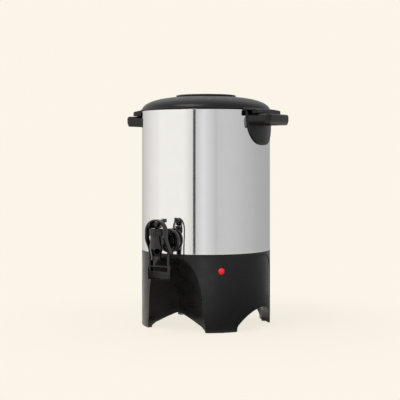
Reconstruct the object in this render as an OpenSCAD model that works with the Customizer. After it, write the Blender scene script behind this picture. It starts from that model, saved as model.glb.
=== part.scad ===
// Electric coffee urn with a self-closing tap. Millimetres, +Z up.
// The tap points along -Y and the two handles along +X and -X.
// The origin is on the floor, at the middle of the whole urn's footprint.

/* [Tank] */
// Outer diameter of the steel tank, and of the base below it
tank_d = 195; // [192:1:198]
// Thickness of the tank's steel
tank_t = 0.8; // [0.7:0.1:1]
// Height of the tank's rolled rim above the floor
tank_top = 323; // [318:1:330]
// Underside of the tank's floor
floor_z = 118; // [117:0.5:119]
// Inner radius of the heating well in the tank's floor
well_r = 22; // [21.5:0.5:24]
// Depth of the heating well
well_depth = 14; // [12:1:15]

/* [Base] */
// Top of the base housing, where the steel begins
base_top = 113; // [112:0.5:114]
// Wall thickness of the base housing
base_wall = 3; // [2.5:0.5:3]
// Crown height of the four arches between the feet
arch_crown = 31.5; // [30:0.5:33]
// Half of the angle that an arch takes at the feet, in degrees
arch_half_angle = 31; // [30:0.5:32]
// Height of the straight part of a foot
foot_straight = 7; // [6:0.5:8]
// Top of the crease round each of the four panels
crease_top = 109.6; // [108:0.2:110]
// Depth of the three plain panels below the housing's surface
panel_depth = 0.8; // [0.5:0.1:1]
// Distance from the tank's axis to the axis of the hollow under the tap
scoop_axis = 230; // [215:5:260]

/* [Lid] */
// Height of the lid's dome above its rim
dome_h = 21; // [20:0.5:22]
// Distance from the tank's axis to the tip of the lid's ears
ear_reach = 108; // [107:0.5:112]
// Half of the width of an ear
ear_w = 43; // [42:0.5:45]
// Outer radius of the grip ring in the middle of the lid
grip_r = 45.5; // [44:0.5:47]
// Top of the grip ring
grip_top = 347; // [346.5:0.5:348]

/* [Handles] */
// Distance from the tank's axis to the tip of a handle
handle_reach = 126.5; // [124:0.5:130]
// Top face of a handle
handle_top = 316; // [315:0.5:316]
// Height of a handle's rim
handle_h = 15.5; // [14:0.5:16]
// Half of the width of a handle's tip
handle_tip_w = 33.8; // [32:0.2:35]

/* [Tap] */
// Distance from the tank's axis to the tap's upright barrel
tap_reach = 136.7; // [134:0.1:139]
// Height of the tap's level bore
tap_z = 133; // [132:0.5:134]
// Radius of the barrel
barrel_r = 9.5; // [9:0.1:10]
// Outer radius of the shank
shank_r = 8.75; // [8.5:0.05:9]
// Outer radius of the flange nut against the tank
flange_r = 17.35; // [16:0.05:18]
// Half of the lever's width
lever_w = 17; // [16.5:0.5:18]
// Distance that the cam's centre sits in front of the lever's pin
cam_e = 6; // [5.5:0.5:6.5]

/* [Percolator] */
// Outer radius of the pump tube
pump_r = 6; // [5.5:0.1:6.2]
// Top of the pump tube
pump_top = 303; // [295:1:308]
// Outer radius of the coffee basket
basket_r = 58; // [54:1:62]
// Underside of the coffee basket
basket_z = 228.3; // [220:0.1:232]
// Height of the coffee basket
basket_h = 62; // [56:1:66]

/* [Hidden] */
$fn = 72;

steel = "#d4d5d4";
satin_black = "#2b2b2c";
deep_black = "#1c1c1d";
rubber_black = "#222223";
silicone = "#d9d4c8";
zinc = "#a9abac";
aluminium = "#bfc1c2";
lamp_red = "#d8201e";

e = 0.01;
gap = 0.3;
tank_r = tank_d / 2;
tank_in = tank_r - tank_t;
rim_roll = 1.5;
front = -90;
foot_angles = [45, 135, 225, 315];

// Footprint: the lever's cam reaches furthest forward, the inlet furthest back
cam_r = 4.85;
inlet_proud = 0.7;
axis_y = (tap_reach + cam_e + cam_r - tank_r - inlet_proud) / 2;

// ---- shared shapes ----

// Points on an arc about c
function arc(c, r, a0, a1, n) =
    [for (i = [0:n]) let (a = a0 + (a1 - a0) * i / n) [c[0] + r * cos(a), c[1] + r * sin(a)]];

// Half-width, as a share of 1, of a superellipse at height t, also a share of 1
function super_w(t, n) = pow(max(0, 1 - pow(t, n)), 1 / n);

module urn() { translate([0, axis_y, 0]) children(); }

module ring(r_out, r_in, z0, z1) {
    translate([0, 0, z0]) difference() {
        cylinder(r = r_out, h = z1 - z0);
        translate([0, 0, -1]) cylinder(r = r_in, h = z1 - z0 + 2);
    }
}

// Wedge about the tank's axis between two angles
module wedge(a0, a1, z0, z1, r = 160) {
    translate([0, 0, z0]) linear_extrude(z1 - z0)
        polygon(concat([[0, 0]], arc([0, 0], r, a0, a1, 4)));
}

module ring_sector(r_out, r_in, z0, z1, a0, a1) {
    intersection() {
        ring(r_out, r_in, z0, z1);
        wedge(a0, a1, z0 - 1, z1 + 1);
    }
}

// Puts a child, drawn along +X, at an angle about the tank's axis
module around(angles) { for (a = angles) rotate([0, 0, a]) children(); }

// Upright outline drawn in Y and Z, pushed out along X
module along_x(x0, x1) {
    translate([x0, 0, 0]) rotate([90, 0, 90]) linear_extrude(x1 - x0) children();
}

module rod_x(r, x0, x1, y = 0, z = 0) {
    translate([x0, y, z]) rotate([0, 90, 0]) cylinder(r = r, h = x1 - x0);
}

module rod_y(r, y0, y1, x = 0, z = 0) {
    translate([x, y1, z]) rotate([90, 0, 0]) cylinder(r = r, h = y1 - y0);
}

module hex(r, h) { cylinder(r = r, h = h, $fn = 6); }

// Round-headed screw, head down, shank up
module screw(head_r, head_h, shank_r, length) {
    difference() {
        union() {
            cylinder(r = head_r, h = head_h);
            cylinder(r = shank_r, h = head_h + length);
        }
        translate([-0.5, -head_r * 0.7, -1]) cube([1, head_r * 1.4, 1.8]);
        translate([-head_r * 0.7, -0.5, -1]) cube([head_r * 1.4, 1, 1.8]);
    }
}

// Unit vector, and the direction of a route at its point i
function unit(v) = v / norm(v);
function heading(p, i) = unit(p[min(i + 1, len(p) - 1)] - p[max(i - 1, 0)]);

// Side vectors along a route, each turned as little as possible from the one before
function sides(p, u, i = 0) = i == len(p) ? [] :
    let (t = heading(p, i), v = unit(u - t * (u * t)))
    concat([[v, cross(t, v)]], sides(p, v, i + 1));

// Smooth curve through a route's points, with n steps a span
function smooth(p, n) = concat([for (i = [0:len(p) - 2], k = [0:n - 1])
    let (a = p[max(i - 1, 0)], b = p[i], c = p[i + 1], d = p[min(i + 2, len(p) - 1)], t = k / n)
    0.5 * (2 * b + (c - a) * t + (2 * a - 5 * b + 4 * c - d) * t * t
        + (3 * b - a - 3 * c + d) * t * t * t)], [p[len(p) - 1]]);

// Insulated lead of radius r along a route
module lead(route, r) {
    n = 8;
    p = smooth(route, 4);
    frame = sides(p, [0.31, 0.23, 0.92]);
    last = n * (len(p) - 1);
    points = [for (i = [0:len(p) - 1], k = [0:n - 1]) let (a = 360 * k / n)
        p[i] + r * (cos(a) * frame[i][0] + sin(a) * frame[i][1])];
    skin = [for (i = [0:len(p) - 2], k = [0:n - 1]) each
        let (a = n * i + k, b = n * i + (k + 1) % n) [[a, a + n, b], [b, a + n, b + n]]];
    caps = [for (k = [1:n - 2]) each [[0, k, k + 1], [last, last + k + 1, last + k]]];
    polyhedron(points, concat(skin, caps));
}

// ---- tank ----

well_floor = floor_z - well_depth;
well_stud_r = 3;
handle_stud_r = 2;
handle_stud_y = 15;
handle_stud_z = 306;
shank_in_r = 8.5;

module tank() {
    color(steel) urn() {
        difference() {
            rotate_extrude($fn = 180) {
                translate([tank_in, base_top]) square([tank_t, tank_top - rim_roll - base_top]);
                translate([tank_r - rim_roll, tank_top - rim_roll]) circle(r = rim_roll, $fn = 24);
                translate([well_r, floor_z]) square([tank_in - well_r + e, 1]);
                translate([well_r, well_floor]) square([1, well_depth + 1]);
                translate([0, well_floor]) square([well_r + e, 1]);
            }
            rod_y(shank_in_r + 0.3, -tank_r - 5, -tank_r + 8, z = tap_z);
        }
        translate([0, 0, well_floor - 14]) cylinder(r = well_stud_r, h = 14 + e);
    }
}

// ---- handles ----

plate_r = tank_r + 2.5;
plate_w = 38;
plate_h = 52.4;
plate_power = 2.55;
plate_top = tank_top - 2;
grip_root_w = 36;
grip_wall = 2.6;
grip_corner = 8;
grip_z0 = handle_top - handle_h;
ledge_r = plate_r + 4.5;
ledge_z = handle_top + 2.6;
ledge_t = 1.8;
ledge_a0 = -9;
ledge_a1 = -0.5;
nut_r = 4;
nut_h = 3.2;
nut_seat_x = tank_r + 1.1;

// Shield of the mounting plate, in Y and Z
module plate_outline() {
    steps = 14;
    right = [for (i = [0:steps]) let (t = sin(90 * i / steps))
        [plate_w * super_w(t, plate_power), tank_top - plate_h * t]];
    left = [for (i = [steps - 1:-1:0]) [-right[i][0], right[i][1]]];
    polygon(concat(right, left));
}

// Plan of a shelf that stands out from x0: its half-width at the root, its reach,
// its half-width at the tip, and the radius of its corners
module shelf_plan(x0, root_w, reach, tip_w, corner) {
    half = concat([[x0, root_w]], arc([reach - corner, tip_w - corner], corner, 90, 0, 8));
    polygon(concat(half, [for (i = [len(half) - 1:-1:0]) [half[i][0], -half[i][1]]]));
}

module grip_plan(x0, inset) {
    shelf_plan(x0, grip_root_w - inset, handle_reach - inset, handle_tip_w - inset, grip_corner - inset);
}

module handle() {
    color(satin_black) difference() {
        union() {
            intersection() {
                ring(plate_r, tank_r, tank_top - plate_h - 1, plate_top);
                along_x(60, 130) plate_outline();
            }
            difference() {
                translate([0, 0, grip_z0]) linear_extrude(handle_h) grip_plan(tank_r - 2, 0);
                cylinder(r = tank_r, h = tank_top);
            }
            // Ledge that holds the lid's tongue down
            ring_sector(ledge_r, plate_r - gap, ledge_z, ledge_z + ledge_t, ledge_a0, ledge_a1);
        }
        // Hollow underside of the grip
        difference() {
            translate([0, 0, grip_z0 - 1]) linear_extrude(handle_h - 2)
                grip_plan(plate_r, grip_wall);
            cylinder(r = plate_r + e, h = tank_top);
        }
        for (y = [-handle_stud_y, handle_stud_y]) {
            rod_x(handle_stud_r, tank_r - 8, plate_r + 2, y, handle_stud_z);
            rod_x(nut_r + 0.8, nut_seat_x, plate_r + 2, y, handle_stud_z);
        }
    }
}

module handle_right() { urn() handle(); }

module handle_left() { urn() rotate([0, 0, 180]) handle(); }

// Studs welded to the tank, two behind each grip
module handle_studs() {
    color(zinc) urn() around([0, 180]) for (y = [-handle_stud_y, handle_stud_y])
        difference() {
            rod_x(handle_stud_r, tank_r - 2, nut_seat_x + nut_h + 2, y, handle_stud_z);
            cylinder(r = tank_r, h = tank_top);
        }
}

module handle_nuts() {
    color(zinc) urn() around([0, 180]) for (y = [-handle_stud_y, handle_stud_y])
        difference() {
            translate([nut_seat_x, y, handle_stud_z]) rotate([0, 90, 0]) hex(nut_r, nut_h);
            rod_x(handle_stud_r, nut_seat_x - 1, nut_seat_x + nut_h + 1, y, handle_stud_z);
        }
}

// ---- base ----

pad_h = 0.4;
pad_r = 3;
pad_place_r = tank_r - 5;
crease_mid = 20;
crease_w = 47.3;
crease_foot_w = 51.5;
crease_power = 2.6;
scoop_wall = 2.5;
flange_in_r = 84.5;
flange_in_z = 4.8;
flange_t = 2.5;
flange_stop = 13;
cover_z = arch_crown + 0.3;
cover_t = 2;
front_boss_r = 70;
side_boss_r = 86;
boss_r = 4.5;
boss_h = 20;
// Angle, distance from the tank's axis, and drop below the cover
boss_places = [[front, front_boss_r, 8], [0, side_boss_r, 2], [90, side_boss_r, 2], [180, side_boss_r, 2]];
rod_angles = [30, 90, 150];
rod_place_r = 66;
lens_angle = -45.8;
lens_z = 89;
lens_r = 4.7;
inlet_z = 70;
inlet_w = 20;
inlet_h = 13;

// Half-width of a panel's crease at height z
function crease_half(z) = z < crease_mid
    ? crease_w + (crease_foot_w - crease_w) * (crease_mid - z) / crease_mid
    : crease_w * super_w((z - crease_mid) / (crease_top - crease_mid), crease_power);

// Heights at which the crease and the hollow are worked out, closer near the top
crease_heights = concat([-2, 0, 10], [for (i = [0:14])
    crease_mid + (crease_top - crease_mid) * sin(90 * i / 14)]);

// Radius of the hollow at height z, so that it meets the housing at the crease
function scoop_r(z) = let (c = sqrt(1 - pow(crease_half(z) / tank_r, 2)))
    sqrt(scoop_axis * scoop_axis + tank_r * tank_r - 2 * scoop_axis * tank_r * c);

// The hollow under the tap, as the round body that cuts it; grow makes its wall
module scoop(grow) {
    top = crease_top + grow;
    rotate([0, 0, front]) translate([scoop_axis, 0, 0]) rotate_extrude($fn = 180)
        polygon(concat(
            [[scoop_axis - tank_r - 10, -2]],
            [for (z = crease_heights) [scoop_r(z) + grow, z * top / crease_top]],
            [[scoop_axis - tank_r - 10, top]]));
}

module panel_outline() {
    right = [for (z = crease_heights) [crease_half(z), z]];
    left = [for (i = [len(right) - 1:-1:0]) [-right[i][0], right[i][1]]];
    polygon(concat(right, left));
}

// Opening between two feet: straight at the feet, round above
module arch_outline(grow = 0) {
    half_w = tank_r * sin(arch_half_angle);
    rise = arch_crown - foot_straight;
    r = (half_w * half_w + rise * rise) / (2 * rise);
    w = half_w + grow;
    a = asin(w / (r + grow));
    polygon(concat([[w, -5]], arc([0, arch_crown - r], r + grow, 90 - a, 90 + a, 24), [[-w, -5]]));
}

// The front opening is lower, where the hollow runs down into it
module front_arch_outline() {
    half = [[48.9, -5], [48.6, 3.6], [44, 8.6], [40.1, 10.9], [32.3, 15], [24.9, 18.4], [17, 21.4],
        [9.8, 24], [5, 25.4], [1.5, 26.1]];
    polygon(concat(half, [for (i = [len(half) - 1:-1:0]) [-half[i][0], half[i][1]]]));
}

// Flange that runs inwards round a side arch; it rises inwards at the feet and stops short of the
// crown, where the bottom cover lies
module arch_flange() {
    slope = (flange_in_z - pad_h) / (tank_r - 0.5 - flange_in_r);
    difference() {
        intersection() {
            ring(tank_r - 1, flange_in_r, pad_h, cover_z - gap);
            along_x(60, tank_r) arch_outline(flange_t);
        }
        translate([50, -flange_stop, arch_crown - 12]) cube([60, 2 * flange_stop, 20]);
        rotate_extrude() polygon([[60, -1], [tank_r - 0.5, -1], [tank_r - 0.5, pad_h],
            [flange_in_r - 5, flange_in_z + 5 * slope], [60, flange_in_z + 5 * slope]]);
    }
}

module base_housing() {
    color(satin_black) urn() difference() {
        union() {
            difference() {
                translate([0, 0, pad_h]) cylinder(r = tank_r, h = base_top - pad_h, $fn = 180);
                translate([0, 0, -1]) cylinder(r = tank_r - base_wall, h = base_top - 2, $fn = 180);
                cylinder(r = tank_r - 12, h = base_top + 1, $fn = 180);
            }
            // Collar that the tank's skirt slips over
            ring(tank_in - gap, tank_in - 3, base_top - 1, base_top + 4);
            // Wall behind the hollow under the tap
            intersection() {
                translate([0, 0, pad_h]) cylinder(r = tank_r - 1, h = base_top - 1 - pad_h);
                scoop(scoop_wall);
            }
            around([0, 180]) arch_flange();
            // Bosses that carry the pads
            around(foot_angles) translate([pad_place_r, 0, pad_h]) cylinder(r = pad_r + 1.2, h = 6);
            // Bosses for the bottom cover's screws, each with a web to the wall
            for (b = boss_places) rotate([0, 0, b[0]]) translate([b[1], 0, cover_z + cover_t]) {
                cylinder(r = boss_r, h = boss_h);
                translate([0, -1.25, 0]) cube([9, 2.5, boss_h]);
            }
        }
        scoop(0);
        around([0, 90, 180]) difference() {
            along_x(60, tank_r + 5) panel_outline();
            translate([0, 0, -5]) cylinder(r = tank_r - panel_depth, h = base_top + 10, $fn = 180);
        }
        around([0, 90, 180]) along_x(40, tank_r + 5) arch_outline();
        rotate([0, 0, front]) along_x(40, tank_r + 5) front_arch_outline();
        for (b = boss_places) rotate([0, 0, b[0]])
            translate([b[1], 0, cover_z]) cylinder(r = 1.5, h = 20);
        // Seat and hole for the indicator lens
        rotate([0, 0, lens_angle]) {
            rod_x(lens_r + 0.1, tank_r - 1.1, tank_r + 5, 0, lens_z);
            rod_x(lens_r - 0.9, tank_r - 8, tank_r + 5, 0, lens_z);
        }
        // Window for the inlet, with its two screw holes
        translate([-inlet_w, tank_r - 12, inlet_z - inlet_h]) cube([2 * inlet_w, 20, 2 * inlet_h]);
        for (s = [-1, 1]) rod_y(1.5, tank_r - 12, tank_r + 5, s * (inlet_w + 4), inlet_z);
        // Sockets for the pads
        around(foot_angles) translate([pad_place_r, 0, 0]) cylinder(r = pad_r, h = pad_h + 0.6);
    }
}

module foot_pads() {
    color(rubber_black) urn() around(foot_angles)
        translate([pad_place_r, 0, 0]) cylinder(r = pad_r, h = pad_h + 0.6);
}

module bottom_cover() {
    color(satin_black) urn() difference() {
        union() {
            translate([0, 0, cover_z]) cylinder(r = tank_r - base_wall - 0.2, h = cover_t);
            for (b = boss_places) rotate([0, 0, b[0]])
                translate([b[1], 0, cover_z - b[2]]) cylinder(r = 3.6, h = b[2] + e);
        }
        scoop(scoop_wall + 0.2);
        for (b = boss_places) rotate([0, 0, b[0]])
            translate([b[1], 0, cover_z - b[2] - 1]) cylinder(r = 1.6, h = b[2] + 6);
        around(rod_angles) translate([rod_place_r, 0, cover_z - 1]) cylinder(r = 2.1, h = 5);
        // Air slots
        for (x = [-30:12:30]) translate([x - 2, -20, cover_z - 1]) cube([4, 40, 5]);
    }
}

module bottom_screws() {
    color(zinc) urn() for (b = boss_places) rotate([0, 0, b[0]])
        translate([b[1], 0, cover_z - b[2] - 2]) screw(3, 2, 1.5, b[2] + 17);
}

// Three long screws clamp the cover, the housing and the tank together
module tie_rods() {
    color(zinc) urn() around(rod_angles)
        translate([rod_place_r, 0, cover_z - 2.5]) screw(4, 2.5, 2, floor_z - cover_z);
}

module tie_rod_nuts() {
    color(zinc) urn() around(rod_angles) translate([rod_place_r, 0, floor_z - 6]) difference() {
        hex(4.6, 6);
        translate([0, 0, -1]) cylinder(r = 2, h = 8);
    }
}

// ---- heating and wiring ----

heater_r = 30;
element_r = 24;
element_tube = 3;
heater_z = well_floor - 12;
heater_cup = 8;

module element_path() {
    translate([0, 0, heater_z]) rotate_extrude() translate([element_r, 0]) circle(r = element_tube, $fn = 24);
}

module heater_plate() {
    color(aluminium) urn() difference() {
        translate([0, 0, heater_z]) cylinder(r = heater_r, h = well_floor + heater_cup - heater_z);
        translate([0, 0, well_floor]) cylinder(r = well_r + 1, h = 20);
        translate([0, 0, heater_z - 1]) cylinder(r = well_stud_r, h = 20);
        element_path();
    }
}

module brew_element() {
    color(zinc) urn() {
        difference() {
            element_path();
            translate([-element_r - 5, -6, heater_z - 5]) cube([12, 12, 10]);
        }
        for (s = [-1, 1]) translate([-element_r, s * 6, heater_z - 11]) cylinder(r = 2.4, h = 11);
    }
}

module keep_warm_band() {
    color(steel) urn() difference() {
        ring(heater_r + 1.4, heater_r, heater_z + 5, heater_z + 17);
        translate([-heater_r - 5, -3, heater_z]) cube([10, 6, 30]);
    }
}

module heater_nut() {
    color(zinc) urn() translate([0, 0, heater_z - 4]) difference() {
        hex(6, 4);
        translate([0, 0, -1]) cylinder(r = well_stud_r, h = 8);
    }
}

module thermostat() {
    color(aluminium) urn() translate([13.8, 0, heater_z - 9]) {
        translate([0, 0, 5]) cylinder(r = 7, h = 4);
        cylinder(r = 6, h = 5 + e);
        for (y = [-4, 4]) translate([-1.5, y - 0.4, -6]) cube([3, 0.8, 6.5]);
    }
}

module thermal_fuse() {
    color(steel) urn() rod_y(2, -7, 7, -13, heater_z - 2);
}

// Heights and places that the leads run between
terminal_z = heater_z - 12;
pin_in_y = 66;
pin_r = 2.38;
pin_tail_r = 2;
pin_length = 16;
pin_x = 6.35;

module lead_line() {
    color(deep_black) urn() lead([[pin_x, pin_in_y, inlet_z], [pin_x, 56, inlet_z],
        [16, 32, 62], [15, 12, 62], [13.8, 4, 70], [13.8, 4, terminal_z - 3]], 1.4);
}

module lead_heater() {
    color(deep_black) urn() lead([[13.8, -4, terminal_z - 3], [13.8, -5, 70], [4, -16, 64],
        [-12, -18, 64], [-element_r, -8, 70], [-element_r, -6, heater_z - 11]], 1.4);
}

module lead_return() {
    color(steel) urn() lead([[-element_r, 6, heater_z - 11], [-element_r, 8, 72],
        [-20, 38, 64], [-pin_x, 56, inlet_z], [-pin_x, pin_in_y, inlet_z]], 1.4);
}

// Place on the lamp's axis at distance r from the tank's axis
function lamp_at(r) = [r * cos(lens_angle), r * sin(lens_angle), lens_z];

module lead_lamp() {
    color(deep_black) urn() lead([lamp_at(tank_r - 21), lamp_at(tank_r - 25.5), [46, -46, 82], [40, -20, 70],
        [26, 30, 56], [pin_x + 1, 52, inlet_z - 4]], 1);
}

module indicator_lens() {
    seat = tank_r - 1.1;
    crown = 2.4;
    dome_r = (pow(lens_r, 2) + pow(crown, 2)) / (2 * crown);
    edge_a = asin((dome_r - crown) / dome_r);
    color(lamp_red) urn() rotate([0, 0, lens_angle]) translate([seat, 0, lens_z]) rotate([0, 90, 0])
        rotate_extrude() polygon(concat([[0, -5], [lens_r - 1, -5], [lens_r - 1, 0], [lens_r, 0]],
            arc([0, 1 + crown - dome_r], dome_r, edge_a, 90, 8)));
}

module indicator_lamp() {
    color(silicone) urn() rotate([0, 0, lens_angle]) {
        rod_x(3, tank_r - 18, tank_r - 6.2, 0, lens_z);
        rod_x(1, tank_r - 21, tank_r - 17, 0, lens_z);
    }
}

inlet_mouth_w = 16.5;
inlet_mouth_h = 10;
inlet_floor_y = 76;

module inlet_shroud() {
    color(deep_black) urn() difference() {
        union() {
            intersection() {
                translate([-inlet_w, inlet_floor_y - 3, inlet_z - inlet_h])
                    cube([2 * inlet_w, 30, 2 * inlet_h]);
                translate([0, 0, inlet_z - 30]) cylinder(r = tank_r, h = 60);
            }
            intersection() {
                translate([-inlet_w - 8, tank_r - 20, inlet_z - inlet_h - 3])
                    cube([2 * inlet_w + 16, 40, 2 * inlet_h + 6]);
                ring(tank_r + inlet_proud, tank_r - panel_depth, inlet_z - 30, inlet_z + 30);
            }
        }
        translate([-inlet_mouth_w, inlet_floor_y, inlet_z - inlet_mouth_h])
            cube([2 * inlet_mouth_w, 40, 2 * inlet_mouth_h]);
        for (s = [-1, 1]) {
            rod_y(pin_tail_r, inlet_floor_y - 5, inlet_floor_y + 1, s * pin_x, inlet_z);
            rod_y(1.5, tank_r - 12, tank_r + 5, s * (inlet_w + 4), inlet_z);
        }
    }
}

module inlet_pins() {
    color(steel) urn() for (s = [-1, 1]) {
        rod_y(pin_tail_r, pin_in_y, inlet_floor_y, s * pin_x, inlet_z);
        rod_y(pin_r, inlet_floor_y, inlet_floor_y + pin_length, s * pin_x, inlet_z);
    }
}

module inlet_screws() {
    color(zinc) urn() for (s = [-1, 1]) difference() {
        union() {
            rod_y(1.5, tank_r - 11, tank_r - 1, s * (inlet_w + 4), inlet_z);
            rod_y(2.6, tank_r - 1.65, tank_r - 0.2, s * (inlet_w + 4), inlet_z);
        }
        translate([s * (inlet_w + 4) - 2, tank_r - 0.8, inlet_z - 0.4]) cube([4, 3, 0.8]);
    }
}

// ---- tap ----
// Drawn with its upright axis at X 0, Y 0; the tank lies on the +Y side

bonnet_z = 142;
bonnet_top = 152;
bonnet_r = 10.25;
neck_r = 8;
chamber_r = 6.5;
seat_z = 118;
outlet_r = 4.5;
spout_r = 7;
spout_z = 108;
pin_z = 157;
lever_pin_r = 1.6;
stem_r = 2;
flange_face = tap_reach - tank_r - 9.5;
flange_back = tap_reach - tank_r - 2.5;
shank_end = tap_reach - tank_r + 12;
nut_y = tap_reach - tank_r + 4.6;

module tap_frame() { urn() translate([0, -tap_reach, 0]) children(); }

// Everything outside the tank's wall, seen from the tap's frame
module tank_round(r) { translate([0, tap_reach, 100]) cylinder(r = r, h = 70, $fn = 180); }

module tap_body() {
    color(satin_black) tap_frame() difference() {
        union() {
            rotate_extrude() polygon([[0, spout_z], [spout_r, spout_z], [spout_r, 114],
                [barrel_r, 125], [barrel_r, bonnet_z], [neck_r, bonnet_z],
                [neck_r, bonnet_top - 2.6], [0, bonnet_top - 2.6]]);
            rod_y(shank_r, 0, flange_back + 1, z = tap_z);
            rod_y(shank_in_r, 0, shank_end, z = tap_z);
        }
        translate([0, 0, seat_z]) cylinder(r = chamber_r, h = 40);
        translate([0, 0, spout_z - 1]) cylinder(r = outlet_r, h = 20);
        rod_y(5.5, 0, shank_end + 1, z = tap_z);
        // Round dimple on the side that faces front right
        rotate([0, 0, -60]) rod_x(4, 7.9, 12, 0, 120.4);
    }
}

module tap_flange_nut() {
    color(satin_black) tap_frame() translate([0, flange_back, tap_z]) rotate([90, 0, 0])
        rotate_extrude() polygon([[shank_r, 0], [flange_r, 0], [flange_r, 5.6], [flange_r - 1.2, 7],
            [13.6, 7], [13.2, 4.4], [11.6, 4.4], [11.2, 8.4], [shank_r, 8.4]]);
}

module tap_outer_washer() {
    color(silicone) tap_frame() difference() {
        rod_y(15, flange_back, flange_back + 6, z = tap_z);
        rod_y(shank_r, flange_back - 1, flange_back + 8, z = tap_z);
        tank_round(tank_r);
    }
}

module tap_inner_washer() {
    color(silicone) tap_frame() difference() {
        intersection() {
            rod_y(13.5, flange_back, nut_y, z = tap_z);
            tank_round(tank_in);
        }
        rod_y(shank_in_r, flange_back - 1, nut_y + 1, z = tap_z);
    }
}

module tap_lock_nut() {
    color(satin_black) tap_frame() difference() {
        translate([0, nut_y + 5, tap_z]) rotate([90, 0, 0]) hex(13, 5);
        rod_y(shank_in_r, nut_y - 1, nut_y + 6, z = tap_z);
    }
}

module tap_bonnet() {
    color(satin_black) tap_frame() difference() {
        translate([0, 0, bonnet_z]) cylinder(r = bonnet_r, h = bonnet_top - bonnet_z);
        translate([0, 0, bonnet_z - 1]) cylinder(r = neck_r, h = bonnet_top - 2.6 - bonnet_z + 1);
        cylinder(r = stem_r + 0.08, h = bonnet_top + 5);
        for (a = [0:20:340]) rotate([0, 0, a]) translate([bonnet_r + 0.35, 0, bonnet_z - 1])
            cylinder(r = 0.9, h = bonnet_top - bonnet_z - 0.8, $fn = 16);
    }
}

// Closing spring between the seat cup and the bonnet
spring_z0 = 126.4;
spring_z1 = bonnet_top - 2.8;
spring_turns = 6;
spring_coil_r = 4.6;
spring_wire_r = 0.4;
spring_steps = 8;

function spring_point(s) = [spring_coil_r * cos(360 * s), spring_coil_r * sin(360 * s),
    spring_z0 + spring_wire_r + (spring_z1 - spring_z0 - 2 * spring_wire_r) * s / spring_turns];
// Ring of six points round the wire, where s counts turns
function wire_ring(s) = [for (k = [0:5]) let (a = 60 * k, p = spring_point(s), u = 360 * s)
    p + spring_wire_r * [cos(a) * cos(u), cos(a) * sin(u), sin(a)]];
spring_rings = spring_turns * spring_steps;
spring_gap = (spring_z1 - spring_z0 - 2 * spring_wire_r) / spring_turns - 2 * spring_wire_r;
echo(spring_gap = spring_gap);

module tap_spring() {
    points = [for (i = [0:spring_rings]) each wire_ring(i / spring_steps)];
    skin = [for (i = [0:spring_rings - 1], k = [0:5]) each let (a = 6 * i + k, b = 6 * i + (k + 1) % 6)
        [[a, a + 6, b], [b, a + 6, b + 6]]];
    ends = [for (k = [1:4]) each [[0, k, k + 1],
        [6 * spring_rings, 6 * spring_rings + k + 1, 6 * spring_rings + k]]];
    color(steel) tap_frame() polyhedron(points, concat(skin, ends));
}

module tap_stem() {
    color(satin_black) tap_frame() difference() {
        union() {
            translate([0, 0, seat_z + 3]) cylinder(r = stem_r, h = pin_z - seat_z - 3);
            rod_x(4.4, -4, 4, 0, pin_z);
            translate([-4, -3, bonnet_top + 0.5]) cube([8, 6, pin_z - bonnet_top - 0.5]);
            translate([0, 0, seat_z + 6]) cylinder(r = 4.5, h = 2);
        }
        rod_x(lever_pin_r + 0.06, -5, 5, 0, pin_z);
    }
}

module tap_seat_cup() {
    color(silicone) tap_frame() difference() {
        union() {
            translate([0, 0, seat_z + 0.1]) cylinder(r = 6, h = 5.9);
            translate([0, 0, seat_z - 2]) cylinder(r1 = 3.2, r2 = 4.2, h = 2.1 + e);
        }
        translate([0, 0, seat_z + 3]) cylinder(r = stem_r, h = 10);
    }
}

// Inverted U of the lever: a round loop over the bonnet, two arms, a push plate
lever_t = 3;
lever_d = 4.25;
loop_z = 148;
knee_z = 137;
shin_z = 119;
shin_y = 10;
plate_top_z = 98.5;
plate_low_z = 79;
cheek_x0 = 4.3;
cheek_x1 = 7.8;

// Side view of an arm, in Y and Z
module arm_outline() {
    polygon([[-lever_d, loop_z], [-lever_d, knee_z], [shin_y - lever_d, shin_z],
        [shin_y - lever_d, plate_low_z], [shin_y + lever_d, plate_low_z],
        [shin_y + lever_d, shin_z], [lever_d, knee_z], [lever_d, loop_z]]);
}

module tap_lever() {
    color(satin_black) tap_frame() difference() {
        union() {
            difference() {
                rod_y(lever_w, -lever_d, lever_d, z = loop_z);
                rod_y(lever_w - lever_t, -lever_d - 1, lever_d + 1, z = loop_z);
                translate([-30, -30, loop_z - 40]) cube([60, 60, 40]);
            }
            along_x(-lever_w, -lever_w + lever_t) arm_outline();
            along_x(lever_w - lever_t, lever_w) arm_outline();
            // Cheeks that straddle the stem, with the cam that lifts it
            intersection() {
                for (s = [-1, 1]) translate([s * (cheek_x0 + cheek_x1) / 2, 0, 0]) {
                    w = cheek_x1 - cheek_x0;
                    rod_x(lever_d, -w / 2, w / 2, 0, pin_z);
                    rod_x(cam_r, -w / 2, w / 2, -cam_e, pin_z);
                    translate([-w / 2, -cam_e, pin_z - lever_d]) cube([w, cam_e, lever_d + cam_r]);
                    translate([-w / 2, -lever_d, pin_z]) cube([w, 2 * lever_d, 8]);
                }
                rod_y(lever_w - 1, -40, 40, z = loop_z);
            }
            // Push plate
            translate([-lever_w - 1.5, shin_y - lever_d, plate_low_z])
                cube([2 * lever_w + 3, 5, plate_top_z - plate_low_z]);
            // Thumb tab behind the loop
            translate([-3, 0, loop_z + lever_w - 3.2]) cube([6, 22, 2.2]);
            translate([-3, 18, loop_z + lever_w - 5.4]) cube([6, 5, 5.4]);
        }
        translate([-15.8, 0, 90.2]) cube([31.6, 20, 6.4]);
        rod_x(lever_pin_r, -9, 9, 0, pin_z);
    }
}

module lever_pin() { color(steel) tap_frame() rod_x(lever_pin_r, -8.4, 8.4, 0, pin_z); }

// ---- lid ----

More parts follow.
